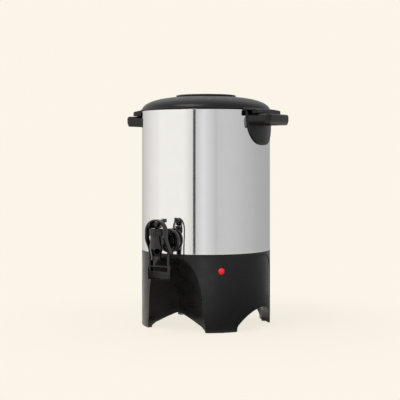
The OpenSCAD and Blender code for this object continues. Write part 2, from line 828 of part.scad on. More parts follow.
lid_z = tank_top + 0.4;
lid_r = tank_r + 1.1;
dome_z = tank_top + 1;
dome_power = 0.655;
lid_t = 2.4;
lid_well_r = 40;
lid_well_z = 327;
skirt_r = 93.3;
ear_corner = 7;
ear_wall = 2;
ear_low = handle_top + gap;
ear_roof = plate_top + 0.4;
tongue_t = 1.6;
tongue_a0 = 1;
tongue_a1 = 9;
grip_bar_w = 11;
grip_post_x = 24;

// Points of a dome line, from the rim in to radius r_in
function dome(r, h, r_in, n) = let (a1 = acos(pow(r_in / r, 1 / dome_power)))
    [for (i = [0:n]) let (a = 4 + (a1 - 4) * i / n) [r * pow(cos(a), dome_power), dome_z + h * sin(a)]];

lid_inner = dome(tank_r - lid_t - 0.2, dome_h - lid_t, lid_well_r + 1, 10);

module lid_shell() {
    outer = dome(tank_r, dome_h, lid_well_r + 1, 16);
    rotate_extrude($fn = 120) {
        polygon(concat(outer, [for (i = [len(lid_inner) - 1:-1:0]) lid_inner[i]]));
        translate([skirt_r - e, lid_z]) square([lid_r - skirt_r + e, 2.2]);
        translate([skirt_r - 2, tank_top - 11]) square([2, 16.5]);
        translate([lid_well_r, lid_well_z - 2]) square([2, dome_z + dome_h - lid_well_z + 1.2]);
        translate([0, lid_well_z - 2]) square([lid_well_r + 1, 2]);
    }
}

// Top of an ear: distance from the tank's axis, and height above the tank's rim
ear_fall = [[ear_reach, -0.6], [ear_reach - 0.8, 0.3], [104, 0.8], [99, 1.6], [95, 3], [92, 4.6],
    [88, 6.8], [84, 8.2], [78, 9.6], [70, 10]];
ear_notch_x = 103.5;

module ear_plan(inset) {
    shelf_plan(70, ear_w - inset, ear_reach - inset, ear_w - inset, ear_corner - inset);
}

// Ear over a handle: a shallow cap with a tongue that turns under the handle's ledge
module lid_ear() {
    difference() {
        intersection() {
            translate([0, 0, ear_low]) linear_extrude(20) ear_plan(0);
            // Side view; the top falls outwards from the dome
            rotate([90, 0, 0]) linear_extrude(2 * ear_w + 2, center = true)
                polygon(concat([[70, ear_low], [ear_reach, ear_low]],
                    [for (p = ear_fall) [p[0], tank_top + p[1]]]));
        }
        cylinder(r = plate_r + 0.6, h = ear_roof);
        cylinder(r = tank_r + gap, h = lid_z);
        translate([0, 0, ear_low - 1]) linear_extrude(ear_roof - ear_low + 1) ear_plan(ear_wall);
        // Room inside the dome
        cylinder(r = skirt_r, h = lid_z + 2);
        rotate_extrude($fn = 60) polygon([[0, lid_z + 1], [lid_inner[0][0], lid_z + 1], lid_inner[0],
            lid_inner[2], lid_inner[4], [0, lid_inner[4][1]]]);
        // Notch in the side wall that passes the ledge
        translate([80, -ear_w - 1, ear_low - 1])
            cube([ear_notch_x - 80, ear_wall + 2, ear_roof - ear_low + 1]);
    }
    intersection() {
        ring_sector(ear_reach + 5, plate_r + 1, ear_low, ear_low + tongue_t, tongue_a0, tongue_a1);
        translate([0, 0, ear_low]) linear_extrude(tongue_t) ear_plan(0.5);
    }
}

module lid() {
    color(satin_black) urn() difference() {
        union() {
            lid_shell();
            around([0, 180]) lid_ear();
        }
        for (x = [-grip_post_x, grip_post_x])
            translate([x, 0, lid_well_z - 3]) cylinder(r = 1.8, h = 5);
        // Steam vents on both sides of the grip bar
        for (a = [50:20:130], s = [0, 180]) rotate([0, 0, a + s])
            translate([32, 0, lid_well_z - 3]) cylinder(r = 1.6, h = 5, $fn = 24);
    }
}

module lid_grip() {
    grip_z = dome_z + dome_h - 0.5;
    color(deep_black) urn() difference() {
        union() {
            rotate_extrude($fn = 120) polygon(concat(
                [[lid_well_r - 2, grip_z], [grip_r, grip_z]],
                arc([grip_r - 1.6, grip_top - 1.6], 1.6, 0, 90, 5),
                arc([lid_well_r - 1, grip_top - 1], 1, 90, 180, 4)));
            intersection() {
                translate([-lid_well_r, -grip_bar_w, lid_well_z + 11])
                    cube([2 * lid_well_r, 2 * grip_bar_w, grip_top - lid_well_z - 11.6]);
                cylinder(r = lid_well_r - 0.2, h = 400);
            }
            for (x = [-grip_post_x, grip_post_x])
                translate([x, 0, lid_well_z]) cylinder(r = 4.5, h = 12);
        }
        for (x = [-grip_post_x, grip_post_x])
            translate([x, 0, lid_well_z - 1]) cylinder(r = 1.5, h = 12);
    }
}

module lid_grip_screws() {
    color(zinc) urn() for (x = [-grip_post_x, grip_post_x])
        translate([x, 0, lid_well_z - 4]) screw(3.4, 2, 1.5, 10);
}

// Soft ring round the lid's skirt; the lid turns in it
module lid_gasket() {
    color(silicone) urn() ring(tank_r - 2 * rim_roll - gap, skirt_r + 0.08, tank_top - 4.5, tank_top - 1.5);
}

// ---- percolator ----

pump_wall = 0.7;
pump_low = well_floor + 3.5;
stop_z = basket_z - 2.3;

module pump_tube() {
    color(aluminium) urn() {
        difference() {
            union() {
                translate([0, 0, pump_low]) cylinder(r = pump_r, h = pump_top - pump_low);
                translate([0, 0, stop_z]) cylinder(r = pump_r + 3, h = 2);
            }
            translate([0, 0, pump_low - 1]) cylinder(r = pump_r - pump_wall, h = 300);
            for (a = [0, 90]) rotate([0, 0, a]) translate([-20, -1.5, pump_low - 1]) cube([40, 3, 5]);
        }
    }
}

module pump_foot() {
    z0 = well_floor + 1.4;
    color(aluminium) urn() rotate_extrude() polygon([[20, z0], [20.6, z0], [20.6, z0 + 1.6],
        [pump_r + 1.2, z0 + 12], [pump_r + 1.2, z0 + 18], [pump_r, z0 + 18], [pump_r, z0 + 11.4],
        [19.4, z0 + 1.2], [19.4, z0]]);
}

basket_wall = 0.8;
basket_hole_r = 1.3;

module coffee_basket() {
    color(aluminium) urn() difference() {
        union() {
            ring(basket_r, basket_r - basket_wall, basket_z, basket_z + basket_h);
            ring(basket_r + 1.2, basket_r - 0.2, basket_z + basket_h - 2, basket_z + basket_h);
            translate([0, 0, basket_z]) cylinder(r = basket_r - 0.2, h = 1);
            translate([0, 0, basket_z]) cylinder(r = pump_r + 1.2, h = 36);
        }
        translate([0, 0, basket_z - 1]) cylinder(r = pump_r + gap, h = 40);
        for (n = [1:4], a = [0:360 / (8 * n):359]) rotate([0, 0, a])
            translate([9 + 10 * n, 0, basket_z - 1]) cylinder(r = basket_hole_r, h = 3, $fn = 16);
    }
}

module basket_cover() {
    z0 = basket_z + basket_h + gap;
    color(aluminium) urn() difference() {
        union() {
            translate([0, 0, z0]) cylinder(r = basket_r + 1, h = 1);
            ring(basket_r + 1.4, basket_r - 0.6, z0, z0 + 3);
            translate([0, 0, z0]) cylinder(r = pump_r + 1.6, h = 5);
        }
        translate([0, 0, z0 - 1]) cylinder(r = pump_r + gap, h = 10);
        for (n = [1:3], a = [0:360 / (8 * n):359]) rotate([0, 0, a + 7])
            translate([9 + 12 * n, 0, z0 - 1]) cylinder(r = basket_hole_r, h = 3, $fn = 16);
    }
}

tank();
handle_right();
handle_left();
handle_studs();
handle_nuts();
base_housing();
bottom_cover();
bottom_screws();
foot_pads();
tie_rods();
tie_rod_nuts();
heater_plate();
brew_element();
keep_warm_band();
heater_nut();
thermostat();
thermal_fuse();
lead_line();
lead_heater();
lead_return();
lead_lamp();
indicator_lens();
indicator_lamp();
inlet_shroud();
inlet_pins();
inlet_screws();
tap_body();
tap_flange_nut();
tap_outer_washer();
tap_inner_washer();
tap_lock_nut();
tap_bonnet();
tap_spring();
tap_stem();
tap_seat_cup();
tap_lever();
lever_pin();
lid();
lid_grip();
lid_grip_screws();
lid_gasket();
pump_tube();
pump_foot();
coffee_basket();
basket_cover();
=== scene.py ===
from math import acos, asin, cos, degrees, hypot, pi, radians, sin, sqrt, tan

import bmesh
import bpy
from mathutils import Matrix, Vector


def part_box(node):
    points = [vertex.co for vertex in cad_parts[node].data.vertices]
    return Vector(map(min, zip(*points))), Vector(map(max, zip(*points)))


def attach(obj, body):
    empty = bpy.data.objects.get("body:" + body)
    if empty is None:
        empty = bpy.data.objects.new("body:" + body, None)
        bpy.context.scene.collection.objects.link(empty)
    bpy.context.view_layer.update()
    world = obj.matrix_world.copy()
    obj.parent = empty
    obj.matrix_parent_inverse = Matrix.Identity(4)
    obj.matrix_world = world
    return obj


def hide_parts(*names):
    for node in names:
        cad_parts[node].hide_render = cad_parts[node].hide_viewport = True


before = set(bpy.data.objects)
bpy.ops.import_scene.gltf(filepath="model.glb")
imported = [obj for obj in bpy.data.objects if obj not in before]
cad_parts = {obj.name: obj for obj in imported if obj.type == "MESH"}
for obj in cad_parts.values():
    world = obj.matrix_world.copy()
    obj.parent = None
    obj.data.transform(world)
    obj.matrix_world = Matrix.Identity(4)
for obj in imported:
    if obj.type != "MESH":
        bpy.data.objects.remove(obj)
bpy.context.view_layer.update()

bl_info = {
    "name": "Coffee urn",
    "version": (1, 0, 0),
    "blender": (4, 5, 0),
    "location": "View3D > Sidebar > Urn",
    "description": "Dresses the frame of a coffee urn and sets the studio round it",
    "category": "Object",
}

MM = 0.001


def span(node):
    """Lowest and highest corner of a frame node, in millimetres."""
    low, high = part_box(node)
    return low / MM, high / MM


# Places that the frame gives, in millimetres. Shapes are drawn round the tank's own upright axis.
TANK_LOW, TANK_HIGH = span("tank")
TANK_R = (TANK_HIGH.x - TANK_LOW.x) / 2
AXIS_Y = (TANK_HIGH.y + TANK_LOW.y) / 2
TANK_TOP = TANK_HIGH.z
BASE_HIGH = span("base_housing")[1]
COLLAR_H = 4
BASE_TOP = BASE_HIGH.z - COLLAR_H
TAP_LOW, TAP_HIGH = span("tap_bonnet")
TAP_REACH = AXIS_Y - (TAP_HIGH.y + TAP_LOW.y) / 2
FLANGE_LOW, FLANGE_HIGH = span("tap_flange_nut")
TAP_Z = (FLANGE_HIGH.z + FLANGE_LOW.z) / 2
GRIP_REACH = span("handle_right")[1].x
EAR_REACH = span("lid")[1].x


# ---- sizes and colours that a user would change ----

def length(name, description, mm):
    return bpy.props.FloatProperty(name=name, description=description, default=mm * MM,
                                   min=0.0, unit="LENGTH", subtype="DISTANCE", precision=5)


def linear(code):
    """Linear colour of an sRGB hex value."""
    parts = [int(code[i:i + 2], 16) / 255 for i in (1, 3, 5)]
    return [c / 12.92 if c <= 0.04045 else ((c + 0.055) / 1.055) ** 2.4 for c in parts] + [1.0]


def colour(name, description, code):
    return bpy.props.FloatVectorProperty(name=name, description=description, default=linear(code),
                                         size=4, min=0.0, max=1.0, subtype="COLOR")


class UrnSizes(bpy.types.PropertyGroup):
    arch_crown: length("Arch crown", "Height of the arches between the feet", 31.5)
    foot_straight: length("Foot", "Height of the straight part of a foot", 7)
    crease_top: length("Crease top", "Top of the crease round each panel", 109.6)
    panel_depth: length("Panel depth", "Depth of the panels below the housing's surface", 0.8)
    dome_height: length("Dome", "Height of the lid's dome above its rim", 21)
    grip_radius: length("Lid grip", "Outer radius of the grip ring on the lid", 45.5)
    plate_drop: length("Handle plate", "Height of a handle's shield", 52.4)
    lens_radius: length("Lamp lens", "Radius of the indicator lens", 4.7)
    lens_height: length("Lamp height", "Height of the indicator lens", 89)
    view_azimuth: bpy.props.FloatProperty(
        name="View azimuth", description="Angle from the tap's direction round to the camera",
        default=radians(31), unit="ROTATION", subtype="ANGLE")


class UrnColours(bpy.types.PropertyGroup):
    backdrop: colour("Backdrop", "Floor and background", "#fbf5e9")
    steel: colour("Steel", "Polished stainless steel", "#e8e8e8")
    plastic: colour("Plastic", "Satin black polypropylene", "#060606")
    tap: colour("Tap plastic", "Semi-gloss black of the tap", "#060606")
    lens: colour("Lens", "Red polycarbonate", "#d9141b")


# ---- outlines ----

def arc(u, v, r, start, end, steps):
    """Points on an arc about (u, v), angles in degrees."""
    turn = [radians(start + (end - start) * i / steps) for i in range(steps + 1)]
    return [(u + r * cos(a), v + r * sin(a)) for a in turn]


def rounded(points, steps=4, closed=True):
    """Line through points (u, v) or (u, v, radius), with its corners rounded."""
    out, last = [], len(points) - 1
    for i, point in enumerate(points):
        here = Vector(point[:2])
        if len(point) < 3 or (not closed and i in (0, last)):
            out.append(tuple(here))
            continue
        back = Vector(points[i - 1][:2]) - here
        ahead = Vector(points[(i + 1) % len(points)][:2]) - here
        half = back.angle(ahead) / 2
        reach = min(point[2] / tan(half), 0.49 * back.length, 0.49 * ahead.length)
        start, end = here + back.normalized() * reach, here + ahead.normalized() * reach
        for k in range(steps + 1):
            t = k / steps
            out.append(tuple(start * (1 - t) ** 2 + here * 2 * t * (1 - t) + end * t * t))
    return out


def inset(outline, depth):
    """A closed outline drawn in by depth, left of its running direction."""
    if depth == 0:
        return outline
    out = []
    for i, point in enumerate(outline):
        here = Vector(point)
        back = (here - Vector(outline[i - 1])).normalized()
        ahead = (Vector(outline[(i + 1) % len(outline)]) - here).normalized()
        along = (back + ahead).normalized()
        side = Vector((-along.y, along.x))
        out.append(tuple(here + side * depth / max(0.5, along.dot(ahead))))
    return out


def smoothstep(t):
    t = max(0.0, min(1.0, t))
    return t * t * (3 - 2 * t)


# ---- solids, each a pair of points in millimetres and faces ----

def loft(rings, loop=False):
    """Skin over rings of equally many points, with its ends closed or joined."""
    n, points, faces = len(rings[0]), [p for ring in rings for p in ring], []
    for i in range(len(rings) if loop else len(rings) - 1):
        a, b = i * n, (i + 1) % len(rings) * n
        for k in range(n):
            m = (k + 1) % n
            faces.append((a + k, a + m, b + m, b + k))
    if not loop:
        faces.append(tuple(reversed(range(n))))
        faces.append(tuple(range(len(points) - n, len(points))))
    return points, faces


def revolve(profile, segments=96, closed=True):
    """Solid of revolution about the upright axis. A point on the axis becomes a pole."""
    points, rows = [], []
    for r, z in profile:
        if r < 1e-6:
            rows.append([len(points)] * segments)
            points.append((0, 0, z))
        else:
            rows.append(list(range(len(points), len(points) + segments)))
            points += [(r * cos(2 * pi * k / segments), r * sin(2 * pi * k / segments), z)
                       for k in range(segments)]
    faces = []
    pairs = list(zip(rows, rows[1:])) + ([(rows[-1], rows[0])] if closed else [])
    for low, high in pairs:
        for k in range(segments):
            m = (k + 1) % segments
            face = list(dict.fromkeys((low[k], low[m], high[m], high[k])))
            if len(face) > 2:
                faces.append(tuple(face))
    return points, faces


def prism(outline, rows, place=lambda u, v, h: (u, v, h)):
    """Solid over a closed outline; each row is (inset, height)."""
    return loft([[place(u, v, h) for u, v in inset(outline, d)] for d, h in rows])


def slab(outline, low, high, edge=0.4, place=lambda u, v, h: (u, v, h)):
    """Prism with rounded edges at both ends."""
    steps = [(1, 0), (0.4, 0.12), (0.12, 0.4), (0, 1)]
    rows = [(edge * a, low + edge * b) for a, b in steps]
    rows += [(edge * a, high - edge * b) for a, b in reversed(steps)]
    return prism(outline, rows, place)


def sector(r_in, r_out, low, high, start, end, edge=0.3, steps=10):
    """Part of a ring between two angles, in degrees."""
    outline = arc(0, 0, r_out, start, end, steps) + arc(0, 0, r_in, end, start, steps)
    return slab(outline, low, high, edge)


def rod(r, start, end, segments=48, edge=0.0):
    """Upright cylinder."""
    if not edge:
        return revolve([(0, start), (r, start), (r, end), (0, end)], segments, closed=False)
    profile = rounded([(0, start), (r, start, edge), (r, end, edge), (0, end)], 3, closed=False)
    return revolve(profile, segments, closed=False)


def block(low, high):
    """Box between two corners."""
    outline = [(low[0], low[1]), (high[0], low[1]), (high[0], high[1]), (low[0], high[1])]
    return loft([[p + (z,) for p in outline] for z in (low[2], high[2])])


def join(*solids):
    points, faces = [], []
    for more, skin in solids:
        faces += [tuple(i + len(points) for i in face) for face in skin]
        points += more
    return points, faces


def moved(solid, matrix):
    points, faces = solid
    return [tuple(matrix @ Vector(p)) for p in points], faces


def turned(solid, deg):
    return moved(solid, Matrix.Rotation(radians(deg), 4, "Z"))


def shifted(solid, x=0, y=0, z=0):
    return moved(solid, Matrix.Translation((x, y, z)))


def along_y(solid, z):
    """Lays an upright solid down at height z, so that its own height runs along +Y."""
    return moved(solid, Matrix.Translation((0, 0, z)) @ Matrix.Rotation(-pi / 2, 4, "X"))


def along_x(solid, z):
    """Lays an upright solid down at height z, so that its own height runs along +X."""
    return moved(solid, Matrix.Translation((0, 0, z)) @ Matrix.Rotation(pi / 2, 4, "Y"))


def placed(name, data):
    made = bpy.data.objects.new(name, data)
    bpy.context.scene.collection.objects.link(made)
    return made


def mesh_object(name, solid):
    """Blender object of a solid, in metres and in the frame's place."""
    points, faces = solid
    mesh = bpy.data.meshes.new(name)
    mesh.from_pydata([(x * MM, (y + AXIS_Y) * MM, z * MM) for x, y, z in points], [], faces)
    shape = bmesh.new()
    shape.from_mesh(mesh)
    bmesh.ops.recalc_face_normals(shape, faces=shape.faces)
    shape.to_mesh(mesh)
    shape.free()
    return placed(name, mesh)


def take(made):
    """Turns an object back into a solid, in millimetres round the tank's axis."""
    points = [(v.co.x / MM, v.co.y / MM - AXIS_Y, v.co.z / MM) for v in made.data.vertices]
    faces = [tuple(p.vertices) for p in made.data.polygons]
    bpy.data.objects.remove(made)
    return points, faces


def combine(target, solid, operation):
    """Joins a solid to an object's mesh, or cuts it out of it."""
    tool = mesh_object("tool", solid)
    step = target.modifiers.new("combine", "BOOLEAN")
    step.object, step.operation, step.solver = tool, operation, "MANIFOLD"
    graph = bpy.context.evaluated_depsgraph_get()
    result = bpy.data.meshes.new_from_object(target.evaluated_get(graph))
    target.modifiers.clear()
    old, target.data = target.data, result
    bpy.data.meshes.remove(old)
    used = tool.data
    bpy.data.objects.remove(tool)
    bpy.data.meshes.remove(used)
    if not target.data.polygons:
        raise RuntimeError(f"{target.name}: a boolean left nothing")
    return target


def fuse(target, solid):
    return combine(target, solid, "UNION")


def cut(target, solid):
    return combine(target, solid, "DIFFERENCE")


def settle(made, material, body, slot, *nodes, crease=35):
    """Finishes a piece: smooth shading, its material, its body and the frame nodes it stands for."""
    made.data.shade_smooth()
    made.data.set_sharp_from_angle(angle=radians(crease))
    made.data.materials.clear()
    made.data.materials.append(finish_of(material))
    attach(made, body)
    if nodes:
        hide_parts(*nodes)
    return made


# ---- materials ----

def add(material, kind, inputs=(), **settings):
    """Adds a shader node; inputs maps its sockets to values or to other nodes' outputs."""
    node = material.node_tree.nodes.new("ShaderNode" + kind)
    for key, value in settings.items():
        setattr(node, key, value)
    for socket, value in dict(inputs).items():
        if isinstance(value, bpy.types.NodeSocket):
            material.node_tree.links.new(value, node.inputs[socket])
        else:
            node.inputs[socket].default_value = value
    return node


def start_material(name):
    material = bpy.data.materials.new(name)
    material.use_nodes = True
    material.node_tree.nodes.clear()
    return material


def close_material(material, surface):
    add(material, "OutputMaterial", {"Surface": surface})
    return material


def per_mm(size):
    """Texture scale at which a feature is size millimetres wide."""
    return 1 / (size * MM)


def pattern(material, size, detail=2.0, stretch=(1, 1, 1), low=0.0, high=1.0):
    """Noise with features of a size in millimetres, mapped to a range."""
    place = add(material, "TexCoord")
    scaled = add(material, "Mapping", {"Vector": place.outputs["Object"], "Scale": stretch})
    noise = add(material, "TexNoise", {"Vector": scaled.outputs["Vector"], "Scale": per_mm(size),
                                       "Detail": detail})
    return add(material, "MapRange", {"Value": noise.outputs["Fac"], "From Min": 0.3, "From Max": 0.7,
                                      "To Min": low, "To Max": high}).outputs["Result"]


def relief(material, height, depth, edge=0.25):
    """Normal of a surface with a fine relief, depth in millimetres, and softly rounded edges."""
    soft = add(material, "Bevel", {"Radius": edge * MM}, samples=4)
    return add(material, "Bump", {"Height": height, "Distance": depth * MM, "Strength": 1.0,
                                  "Normal": soft.outputs["Normal"]}).outputs["Normal"]


def tint(material, base, factor, change):
    """Colour that varies a little: change is the share by which the light places are lighter."""
    mix = add(material, "Mix", {"Factor": factor}, data_type="RGBA")
    mix.inputs["A"].default_value = base
    mix.inputs["B"].default_value = [min(1, c * (1 + change)) for c in base[:3]] + [1]
    return mix.outputs["Result"]


def finished(material, base, blotch, change, height, shine, depth, edge, settings):
    """Surface of a varied colour and shine under a fine relief."""
    surface = add(material, "BsdfPrincipled", {
        "Base Color": tint(material, base, pattern(material, blotch), change), "Roughness": shine,
        "Normal": relief(material, height, depth, edge), **settings})
    return close_material(material, surface.outputs[0])


def moulded(name, base, roughness, grain, depth, ior=1.5, edge=0.3, spread=0.05):
    """Injection-moulded plastic or rubber: an even skin with a fine grain from the mould."""
    material = start_material(name)
    shine = pattern(material, 14, 3, low=roughness - spread, high=roughness + spread)
    skin = pattern(material, grain, 3)
    return finished(material, base, 9, 0.25, skin, shine, depth, edge, {"IOR": ior})


def worked_metal(name, base, roughness, mark, stretch, depth, edge=0.15, spread=0.04):
    """Bare metal: mark is the spacing of its tool marks, drawn out along one direction by stretch."""
    material = start_material(name)
    marks = pattern(material, mark, 3, stretch)
    shine = pattern(material, mark * 4, 2, stretch, roughness - spread, roughness + spread)
    return finished(material, base, 22, -0.02, marks, shine, depth, edge, {"Metallic": 1.0})


def lamp_glass(name, colours):
    """Neon lamp: clear glass with its orange glow painted into the glass's colour, hidden behind the
    lens.
    """
    material = start_material(name)
    surface = add(material, "BsdfPrincipled", {
        "Base Color": linear("#ffb27a"), "Roughness": pattern(material, 3, low=0.03, high=0.08),
        "IOR": 1.5, "Transmission Weight": 0.8})
    return close_material(material, surface.outputs[0])


def red_polycarbonate(name, colours):
    """Moulded polycarbonate, dyed red: glossy, its depth lit a little by the lamp behind it."""
    material = start_material(name)
    glow = pattern(material, 4, low=0.8, high=1.0)
    red = tint(material, colours.lens, glow, -0.12)
    surface = add(material, "BsdfPrincipled", {
        "Base Color": red, "Roughness": pattern(material, 2, low=0.08, high=0.14), "IOR": 1.585,
        "Emission Color": colours.lens, "Emission Strength": 0.35,
        "Normal": relief(material, pattern(material, 1.2), 0.004)})
    return close_material(material, surface.outputs[0])


CLEAR = {"glass_neon": lamp_glass, "polycarbonate_red": red_polycarbonate}
# Plastics and rubbers: colour, or the user's colour by name, and then what moulded() takes
MOULDED = {
    # Polypropylene from a spark-finished mould: soft sheen, fine grain of about 0.4 mm
    "polypropylene_satin": ("plastic", 0.3, 0.45, 0.008, 1.43, 0.45),
    # ABS from a polished mould: clear reflections with slight flow marks
    "abs_gloss": ("plastic", 0.12, 2.5, 0.004, 1.5, 0.3, 0.02),
    # Acetal moulded semi-gloss: tighter sheen than the housing
    "acetal_semigloss": ("tap", 0.2, 0.5, 0.006, 1.58, 0.3),
    # Compression-moulded phenolic of the inlet: dense dull black
    "phenolic_moulded": ("#161514", 0.45, 0.35, 0.01, 1.6, 0.2),
    # Moulded rubber: dark and nearly matt
    "rubber_moulded": ("#1b1b1c", 0.75, 0.6, 0.03, 1.52, 0.3),
    # Near-black, nearly matt plug in the tap's bore: painted shade of the deep bore, taking nearly all
    # the light
    "ebonite_matt": ("#010101", 0.8, 0.6, 0.01, 1.06, 0.1),
    # Moulded silicone: milky, soft sheen
    "silicone_moulded": ("#cfc9bb", 0.42, 0.8, 0.01, 1.41, 0.2),
    # Extruded silicone insulation: even, soft sheen
    "insulation_black": ("#202022", 0.5, 0.7, 0.01, 1.41, 0.1),
    "insulation_white": ("#d4d0c6", 0.5, 0.7, 0.01, 1.41, 0.1),
}
# Metals, with what worked_metal() takes
METALS = {
    # 304 stainless, mirror polished round the tank: reflects the studio cleanly, faint buffing haze
    "stainless_polished": ("steel", 0.06, 1.2, (1, 1, 0.15), 0.0006, 0.2, 0.006),
    # Cold-headed steel, zinc plated: bluish grey with small bright crystals
    "steel_zinc_plated": ("#a7abb0", 0.32, 0.5, (1, 1, 1), 0.006),
    # Drawn stainless wire and pin: bright, with lines along the draw
    "steel_drawn": ("#c9c9c6", 0.2, 0.3, (1, 1, 0.3), 0.003),
    # Turned brass, nickel plated: warm bright grey
    "brass_nickel_plated": ("#cfc8ba", 0.16, 0.25, (1, 4, 1), 0.002),
    # Pressure die casting: grey, granular, dull
    "aluminium_die_cast": ("#a3a4a5", 0.48, 0.9, (1, 1, 1), 0.03),
    # Spun and drawn aluminium: pale, with rings round the axis
    "aluminium_spun": ("#c6c7c9", 0.3, 0.5, (0.1, 0.1, 2), 0.006),
    # Heat-tinted sheath: grey-brown from the first heating
    "sheath_heat_tinted": ("#7a746c", 0.42, 0.8, (1, 1, 1), 0.01),
}
MADE = {}


def finish_of(name):
    """A material made once, however many pieces take it."""
    if name not in MADE:
        colours = bpy.context.scene.urn_colours
        if name in CLEAR:
            MADE[name] = CLEAR[name](name, colours)
        else:
            maker, rows = (moulded, MOULDED) if name in MOULDED else (worked_metal, METALS)
            tone, *measures = rows[name]
            base = linear(tone) if tone[0] == "#" else getattr(colours, tone)
            MADE[name] = maker(name, base, *measures)
    return MADE[name]


# Frame nodes that are shown as they are, by the material that they get
CARRIED = {
    "polypropylene_satin": ["bottom_cover"],
    "phenolic_moulded": ["inlet_shroud"],
    "rubber_moulded": ["foot_pads", "tap_outer_washer"],
    "silicone_moulded": ["tap_inner_washer", "tap_seat_cup", "lid_gasket"],
    "acetal_semigloss": ["tap_lock_nut", "tap_stem"],
    "steel_zinc_plated": ["handle_studs", "handle_nuts", "bottom_screws", "tie_rods", "tie_rod_nuts",
                          "heater_nut", "thermal_fuse", "inlet_screws", "lid_grip_screws"],
    "steel_drawn": ["tap_spring", "lever_pin"],
    "brass_nickel_plated": ["inlet_pins"],
    "aluminium_die_cast": ["heater_plate", "thermostat"],
    "aluminium_spun": ["pump_tube", "pump_foot", "coffee_basket", "basket_cover"],
    "sheath_heat_tinted": ["brew_element", "keep_warm_band"],
    "insulation_black": ["lead_line", "lead_heater", "lead_lamp"],
    "insulation_white": ["lead_return"],
    "glass_neon": ["indicator_lamp"],
}


# ---- tank ----

def tank_shell():
    wall, roll, floor = 0.8, 1.5, 119
    well_r, well_low = 22, 104
    r_in = TANK_R - wall
    bead = arc(TANK_R - roll, TANK_TOP - roll, roll, 0, 270, 14)
    profile = [(0, well_low), (well_r, well_low, 0.6), (well_r + 1, well_low, 0.5),
               (well_r + 1, floor - 1, 0.5), (r_in, floor - 1), (r_in, BASE_TOP),
               (TANK_R, BASE_TOP, 0.15)]
    outside = rounded(profile, 3, closed=False)
    inside = rounded([(r_in, TANK_TOP - 2 * roll - 0.4, 0.6), (r_in, floor, 1.5), (well_r, floor, 0.8),
                      (well_r, well_low + 1, 0.8), (0, well_low + 1)], 4, closed=False)
    return revolve(outside + bead + inside, 256, closed=False)


# ---- base housing ----

FRONT, RIGHT, BACK, LEFT = -90, 0, 90, 180
WALL = 3
SCOOP_AXIS = 230
SCOOP_WALL = 2.5
CREASE_MID = 20
CREASE_W = 47.3
CREASE_FOOT_W = 51.5
CREASE_POWER = 2.6
ARCH_HALF = 31
SOLE_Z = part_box("base_housing")[0].z / MM
FLANGE_R, FLANGE_Z, FLANGE_T = 84.5, 4.8, 2.5
PAD_PLACE_R = TANK_R - 5
LENS_ANGLE = -45.8
# The front arch is lower than the others: distance from its middle, and height
FRONT_EDGE = [(0, 26.2), (2, 26), (5, 25.4), (9.8, 24), (17, 21.4), (24.9, 18.4), (32.3, 15),
              (40.1, 10.9), (44, 8.6), (48.6, 3.6)]


